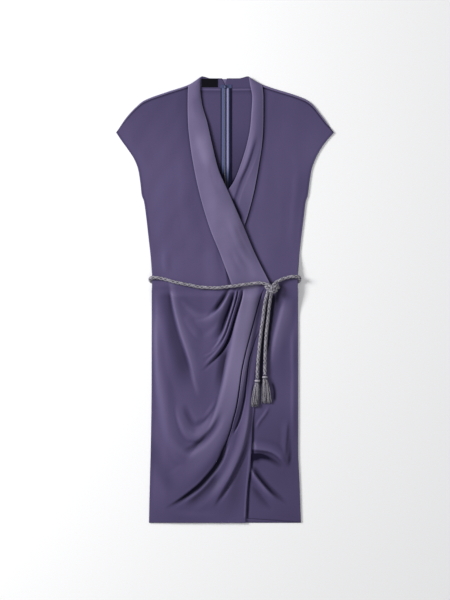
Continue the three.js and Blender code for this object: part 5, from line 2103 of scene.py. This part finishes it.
    def _skirt_over(self) -> Shape:
        """The skirt's over front: the part's large folds with finer ones laid between them.

        Returns:
            The skirt's wall.
        """
        layers = self.layers
        levels = between((HEM, 2.4), (layers.swell_foot, 2.3), (self.waist_high, 1))
        left, right = slanted(levels, layers.swell_foot, 51.0, 37.0)
        grid = Grid(
            left, right, packed(self.over_columns, 0.70, 0.97, 2.6, self.crisp), side_left, free_edge,
            steady(HEM),
            layers.below_waist,
            (HEM, layers.swell_foot),
        )
        x, y = grid.points()
        ground = layers.over_ground(x, y)
        inside = step(0, 40, x - side_left(y)) * step(8, 45, free_edge(y) - x)
        loft = self.loft * inside * step(HEM, -440, y)
        cuts = summed(OVER_TROUGHS, x, y)
        folds = loft + blended(OVER_RIDGES, x, y) + cuts + ripple(x, y, 7, 0.4, self.skirt_waves)
        low = above(ground + folds * layers.calm(x, y), ground)
        # Painted highlights and painted shade from the tables and the creases, over slight random changes of
        # colour; darker towards the hem.
        tone = summed(PAINTED_SHEEN_OVER + SHADE_OVER, x, y) + self.dye(x, y, 33)
        tone = tone - 0.11 * step(-260, -500, y) + self.painted_crease_shade(low - ground, cuts)
        return cloth_shell(x, y, low, self.cloth, tone)

    def _skirt_under(self) -> Shape:
        """The skirt's under front, with its folds where it shows.

        Returns:
            The skirt's wall.
        """
        layers = self.layers
        levels = between((HEM, 2.4), (layers.swell_foot, 2.2), (self.waist_high, 1))
        left, right = slanted(levels, layers.swell_foot, 36.0, 52.0)
        grid = Grid(
            left, right, shares(self.under_columns, self.crisp),
            steady(UNDER_EDGE),
            side_right, under_hem, layers.below_waist,
            (-400.0, layers.swell_foot),
        )
        x, y = grid.points()
        ground = layers.front(x, y)
        shown = step(0, 12, x - free_edge(y)) * layers.calm(x, y)
        cuts = summed(UNDER_TROUGHS, x, y) * shown
        folds = (blended(UNDER_RIDGES, x, y) + ripple(x, y, 8, 0.4, self.skirt_waves)) * shown
        low = above(ground + folds + cuts, ground - 0.2)
        # Painted highlights and painted shade from the tables and the creases, over slight random changes of
        # colour; darker towards the hem.
        tone = summed(PAINTED_SHEEN_UNDER + SHADE_UNDER, x, y) + self.dye(x, y, 34) - 0.04
        tone = tone - 0.16 * step(-150, -400, y) + self.painted_crease_shade(low - ground, cuts)
        return cloth_shell(x, y, low, self.cloth, tone)

    def _collar(self, sign: int) -> Shape:
        """Half of the stand collar: straight runs from the seam to its top, parted in a V behind.

        Args:
            sign: -1 for the left half, 1 for the right one.

        Returns:
            The half's wall, with the notch's allowance on the right one.
        """
        up = np.linspace(0.0, 1.0, 15)
        parted = self._parted(sign, up)
        far = np.concatenate([np.linspace(0, 58, 24), np.linspace(60, 71, 6), np.linspace(73, 81, 5)])
        share = far[None, :] / self.collar_foot
        end = self.collar_foot + (self.collar_head - self.collar_foot) * up[:, None]
        x = sign * (parted[:, None] * (1.0 - share) + end * share)
        seam = self.neck_seam(far)[None, :] + self.layers.gap
        top = self.collar_top + self.collar_lift * step(0.55, 1.0, share)
        y = seam * (1.0 - up[:, None]) + top * up[:, None]
        if sign < 0:
            x, y = x[:, ::-1], y[:, ::-1]
        # The collar is darker overall, with painted shade along its top and seam edges and beside its parted
        # ends.
        edge = 0.25 * np.exp(-(((y - y.max(axis=0)) / 1.2) ** 2))
        tone = self.collar_tone - edge - 0.2 * (1.0 - step(0, 3, y - y.min(axis=0)))
        beside = np.exp(-(((np.abs(x) - parted[:, None]) / 1.2) ** 2))
        tone = tone - 0.35 * beside * step(0.4, 0.6, up[:, None])
        half = cloth_shell(x, y, self.layers.back(x, y), self.cloth, tone)
        if sign < 0:
            return half
        return Shape.joined([half, self._notch()])

    def _parted(self, sign: int, up: Array) -> Array:
        """How far an end of the collar is from the middle.

        Args:
            sign: -1 for the left end, 1 for the right one.
            up: how far up the collar, from 0 at its seam to 1 at its top.

        Returns:
            The distance at each level.
        """
        middle, ends = self.layers.gap / 2.0, (4.4, 7.4) if sign < 0 else (3.0, 4.4)
        return np.interp(up, (0, 0.25, self.parted_from, 0.75, 1), (middle, middle, 0.6, *ends))

    def _notch(self) -> Shape:
        """The turned allowance that shows between the collar's parted ends.

        Returns:
            A thin wall between the two ends.
        """
        up = np.linspace(self.parted_from, 0.93, 9)
        left, right = -self._parted(-1, up), self._parted(1, up)
        share = np.linspace(0.0, 1.0, 9)[None, :]
        x = left[:, None] * (1.0 - share) + right[:, None] * share
        y = (self.collar_low + (self.collar_top - self.collar_low) * up)[:, None] + 0.0 * x
        low, tone = np.full(x.shape, 0.1), np.full(x.shape, self.notch_tone)
        return cloth_shell(x, y, low, self.cloth / 2.0, tone)

    def build(self, wardrobe: Wardrobe) -> None:
        """Cuts and lays every panel.

        Args:
            wardrobe: the finishes.
        """
        floor, backs = ("the surface below",), ("back_right", "back_left")
        for shape, node, flat, area, on in (
            (self._back(-1), "back_left", (0.250, 1.007), 0.181, floor),
            (self._back(1), "back_right", (0.250, 1.008), 0.181, floor),
            (self._collar(-1), "collar_left", (0.081, 0.028), 0.0017, floor),
            (self._collar(1), "collar_right", (0.081, 0.028), 0.0018, floor),
            (self._bodice_under(), "bodice_front_under", (0.337, 0.462), 0.084, backs),
            (self._bodice_over(), "bodice_front_over", (0.350, 0.461), 0.089,
             ("bodice_front_under", "back_left")),
            (self._lapel(False), "lapel_under", (0.110, 0.490), 0.027, ("bodice_front_under",)),
            (self._lapel(True), "lapel_over", (0.110, 0.490), 0.029, ("bodice_front_over",)),
            (self._skirt_under(), "skirt_front_under", (0.285, 0.570), 0.148, backs),
            (self._skirt_over(), "skirt_front_over", (0.330, 0.570), 0.147,
             ("skirt_front_under", "back_left")),
        ):
            self._sheet(shape, node, wardrobe)


FINE_BODICE_OVER = (
    Fold(1, 30, 34, 0.4, 0.4, ((-149.7, 330.3), (-140.5, 219.9), (-138.2, 121), (-135.9, 68.1))),
    Fold(0.9, 24, 28, 0.4, 0.4, ((-99.1, 399.3), (-92.2, 300.4), (-85.3, 199.2), (-60, 91.1))),
    Fold(1.3, 9, 12, 0.45, 0.15, ((-9.4, 114.1), (-0.2, 86.5), (9, 54.3))),
    Fold(-1.2, 8, 8, 0.45, 0.1, ((-18.6, 118.7), (-9.4, 86.5), (2.1, 47.4))),
    Fold(1.2, 12, 16, 0.5, 0.1, ((-135.9, 123.3), (-135.9, 86.5), (-133.6, 56.6))),
)
FINE_BODICE_UNDER = (
    Fold(0.8, 26, 34, 0.4, 0.4, ((84.9, 344.1), (94.1, 252.1), (89.5, 183.1), (84.9, 86.5))),
    Fold(-0.7, 20, 24, 0.4, 0.4, ((140.1, 390.1), (144.7, 286.6), (144.7, 183.1), (140.1, 95.7))),
    Fold(0.8, 18, 20, 0.4, 0.4, ((165.4, 367.1), (163.1, 252.1), (158.5, 160.1), (153.9, 86.5))),
)
FINE_LAPEL_OVER = (
    Fold(1.3, 20, 22, 0.35, 0.4, ((-60, 394.7), (-53.1, 362.5), (-41.6, 325.7), (-30.1, 293.5))),
    Fold(-0.7, 12, 14, 0.3, 0.4, ((-34.7, 321.1), (-20.9, 270.5), (-7.1, 229.1))),
    Fold(1.2, 12, 12, 0.4, 0.3, ((2.1, 201.5), (20.5, 155.5), (38.9, 114.1), (61.9, 77.3))),
    Fold(-1, 9, 10, 0.4, 0.3, ((29.7, 187.7), (48.1, 146.3), (71.1, 104.9), (84.9, 72.7))),
    Fold(1, 10, 12, 0.4, 0.2, ((18.2, 114.1), (34.3, 84.2), (57.3, 56.6))),
)
FINE_LAPEL_UNDER = (
    Fold(-1.8, 7, 9, 0.35, 0.15, (
        (80.3, 383.2), (69.9, 344.1), (58.4, 309.6), (41.2, 270.5), (26.2, 231.4),
    )),
    Fold(1.5, 9, 9, 0.35, 0.3, ((71.1, 394.7), (58.4, 344.1), (45.8, 305), (27.4, 268.2), (13.6, 245.2))),
    Fold(-2.4, 8, 8, 0.35, 0.1, ((34.3, 252.1), (26.2, 224.5), (22.8, 201.5))),
)
# Painted shade in the tuck beside the over lapel's outer edge.
SHADE_TUCK = Fold(-0.6, 4, 7, 0.4, 0.02, ((-7, 112), (-0.5, 86.5), (4.5, 60), (8.5, 30)))
# Painted highlights on the over lapel, and painted shade where the rise is negative.
PAINTED_SHEEN_AND_SHADE_LAPEL_OVER = (
    Fold(0.3, 16, 30, 0.35, 0.4, ((-64.6, 399.3), (-57.7, 367.1), (-46.2, 325.7), (-30.1, 284.3))),
    Fold(0.16, 14, 22, 0.4, 0.4, ((6.7, 206.1), (25.1, 155.5), (48.1, 104.9))),
    Fold(-0.14, 10, 16, 0.4, 0.4, ((-71.5, 477.5), (-69.2, 445.3), (-62.3, 413.1))),
    Fold(-0.06, 10, 12, 0.4, 0.3, ((34.3, 192.3), (52.7, 146.3), (75.7, 100.3))),
    Fold(0.16, 14, 14, 0.4, 0.2, ((38, 118), (50, 90), (62, 64), (70, 44))),
    Fold(-0.12, 12, 12, 0.4, 0.2, ((6.7, 123.3), (20.5, 86.5), (34.3, 54.3))),
)
# Painted highlights on the under lapel, and painted shade where the rise is negative.
PAINTED_SHEEN_AND_SHADE_LAPEL_UNDER = (
    Fold(0.16, 9, 10, 0.3, 0.3, (
        (69.9, 431.5), (61.9, 376.3), (48.1, 321.1), (29.7, 275.1), (13.6, 247.5),
    )),
    Fold(-0.5, 5, 6, 0.3, 0.15, (
        (72, 378.6), (64, 345), (52.7, 312), (39.8, 280), (29.7, 252), (18.2, 215.3),
    )),
    Fold(-0.8, 8, 9, 0.3, 0.3, ((14, 240), (24, 219), (33, 200), (44, 176))),
)


@dataclass
class Zip:
    """The concealed zip inside the centre-back seam: two tapes, a coil and its slider."""

    layers: Layers = LAYERS
    foot: float = -55.0
    top: float = 494.0
    chain: float = 4.4
    chain_top: float = 484.0
    pitch: float = 1.5
    hidden_from: float = 485.4
    hidden_fully: float = 487.0
    open_neck: tuple[float, float] = (266.0, 316.0)
    slider_middle: float = 488.6
    slider_half_length: float = 4.1
    slider_half_width: float = 3.1
    slider_low: float = 2.85

    def _levels(self, top: float, spacing: float) -> Array:
        """Even levels from the zip's foot up to the collar, and three closer ones to its top.

        Args:
            top: the last level.
            spacing: the distance between the even ones, roughly.

        Returns:
            The levels.
        """
        count = round((self.hidden_from - self.foot) / spacing) + 1
        even = np.linspace(self.foot, self.hidden_from, count)
        return np.append(even, (486.2, self.hidden_fully, top))

    def _strip(self, x: Array, levels: Array, thickness: Array, tone: Array) -> Shape:
        """A strip whose section across is given, carried up the back's inside.

        Args:
            x: places across the strip.
            levels: levels along it.
            thickness: its thickness at each place across.
            tone: its tone at each place across.

        Returns:
            The strip's wall.
        """
        across, along = np.meshgrid(x, levels)
        low = self.layers.inside_back(along)
        # Painted shade: darker where the strip runs under the collar, and much darker low in the neck
        # opening.
        shown = 1.0 - step(self.hidden_from, self.hidden_fully, along)
        shade = 1.8 * (1.0 - step(*self.open_neck, along))
        tones = tone[None, :] * shown - 0.25 * (1.0 - shown) - shade
        return cloth_shell(across, along, low, thickness[None, :] + 0.0 * along, tones)

    def _tape_left(self) -> Shape:
        """The left tape, with painted shade at its outer edge.

        Returns:
            The tape.
        """
        x = np.linspace(-9.9, -1.5, 15)
        thickness = 0.75 + 0.25 * step(-7.6, -6.4, x)
        tone = np.where(x < -7.3, -0.85, 0.15)
        return self._strip(x, self._levels(self.top, 4.0), thickness, tone)

    def _tape_right(self) -> Shape:
        """The right tape with the folded allowance of the seam beside the coil.

        Returns:
            The tape.
        """
        x = np.linspace(3.5, 15.4, 25)
        ridge = step(3.5, 4.6, x) * (1.0 - step(7.8, 9.4, x))
        thickness = 0.7 + 0.6 * ridge * np.sqrt(np.clip(1 - ((x - 6.4) / 3.2) ** 2, 0, 1))
        # A painted highlight on the folded allowance, and painted shade at the tape's outer edge.
        tone = ridge * 1.0 - 0.95 * step(9.2, 10.0, x)
        return self._strip(x, self._levels(self.top, 4.0), thickness, tone)

    def _coil(self) -> Shape:
        """The coil: a low crown across the chain, with a ripple along it for each loop.

        Returns:
            The coil.
        """
        x = np.linspace(-self.chain / 2.0, self.chain / 2.0, 11) + self.layers.zip_x
        count = round((self.chain_top - self.foot) / self.pitch * 4.0) + 1
        levels = np.linspace(self.foot, self.chain_top, count)
        across, along = np.meshgrid(x, levels)
        share = (across - self.layers.zip_x) / (self.chain / 2.0)
        loop = np.cos(2 * np.pi * (along / self.pitch + 0.22 * np.abs(share)))
        groove = 0.35 * np.exp(-((share / 0.12) ** 2))
        thickness = 1.35 + 0.65 * (1.0 - share**2) + 0.18 * loop * (1.0 - share**4) - groove
        low = self.layers.inside_back(along)
        # Painted shade: the coil's tone falls to -1 low in the neck opening.
        return cloth_shell(across, along, low, thickness, step(*self.open_neck, along) - 1.0)

    def _slider(self) -> Shape:
        """The slider's body: a rounded shield, wider at its top, with a crown and a throat.

        Returns:
            The body.
        """
        u, v = np.meshgrid(np.linspace(-1.0, 1.0, 21), np.linspace(-1.0, 1.0, 25))
        rounded = np.sqrt(np.clip(1.0 - np.abs(v) ** 6 * 0.55, 0, 1))
        half = self.slider_half_width * (0.80 + 0.20 * (v + 1.0) / 2.0) * rounded
        x = self.layers.zip_x + u * half
        y = self.slider_middle + self.slider_half_length * v
        crown = (1.0 - u**4) ** 0.5 * (1.0 - v**6) ** 0.5
        throat = 0.35 * np.exp(-((u / 0.3) ** 2)) * step(0.2, 0.8, v)
        low = np.full(x.shape, self.slider_low)
        return cloth_shell(x, y, low, 0.7 + 1.2 * crown - throat)

    def build(self, wardrobe: Wardrobe) -> None:
        """Makes the zip: its two tapes, its coil and its slider. Declares its tapes, whose
        declared width is at least a centimetre.

        Args:
            wardrobe: the finishes.
        """
        for shape, node, width in (
            (self._tape_left(), "zip_tape_left", 0.0084),
            (self._tape_right(), "zip_tape_right", 0.0125),
        ):
            thing = place_piece(shape.mesh(node + "_weave"), Slot.TAPE, wardrobe, node)
        place_piece(self._coil().mesh("zip_chain_coil"), Slot.COIL, wardrobe, "zip_chain")
        place_piece(self._slider().mesh("zip_slider_body"), Slot.SLIDER, wardrobe, "zip_slider")


@dataclass
class Label:
    """The blank woven label inside the collar."""

    left: float = -53.6
    right: float = -17.0
    bottom: float = 488.4
    top: float = 507.6
    low: float = 1.5

    def build(self, wardrobe: Wardrobe) -> None:
        """A thin cloth with turned ends, slightly bowed.

        Args:
            wardrobe: the finishes.
        """
        x, y = np.meshgrid(np.linspace(self.left, self.right, 37), np.linspace(self.bottom, self.top, 21))
        u, v = (x - self.left) / (self.right - self.left), (y - self.bottom) / (self.top - self.bottom)
        turned = 0.16 * (1.0 - step(0.0, 0.09, u)) + 0.16 * step(0.91, 1.0, u)
        bow = 0.10 * np.sin(np.pi * v) * np.sin(2 * np.pi * u)
        shape = cloth_shell(x, y, np.full(x.shape, self.low), 0.6 + turned + np.abs(bow))
        thing = place_piece(shape.mesh("label_weave"), Slot.LABEL, wardrobe, "label")


def main() -> None:
    """Builds the dress in order."""
    logging.basicConfig(level=logging.INFO, format="%(name)s %(message)s")
    studio = Studio()
    studio.camera()
    wardrobe = Wardrobe()
    Belt().build(wardrobe)
    ClothPanels().build(wardrobe)
    Zip().build(wardrobe)
    Label().build(wardrobe)
    studio.build()


if __name__ == "__main__":
    main()
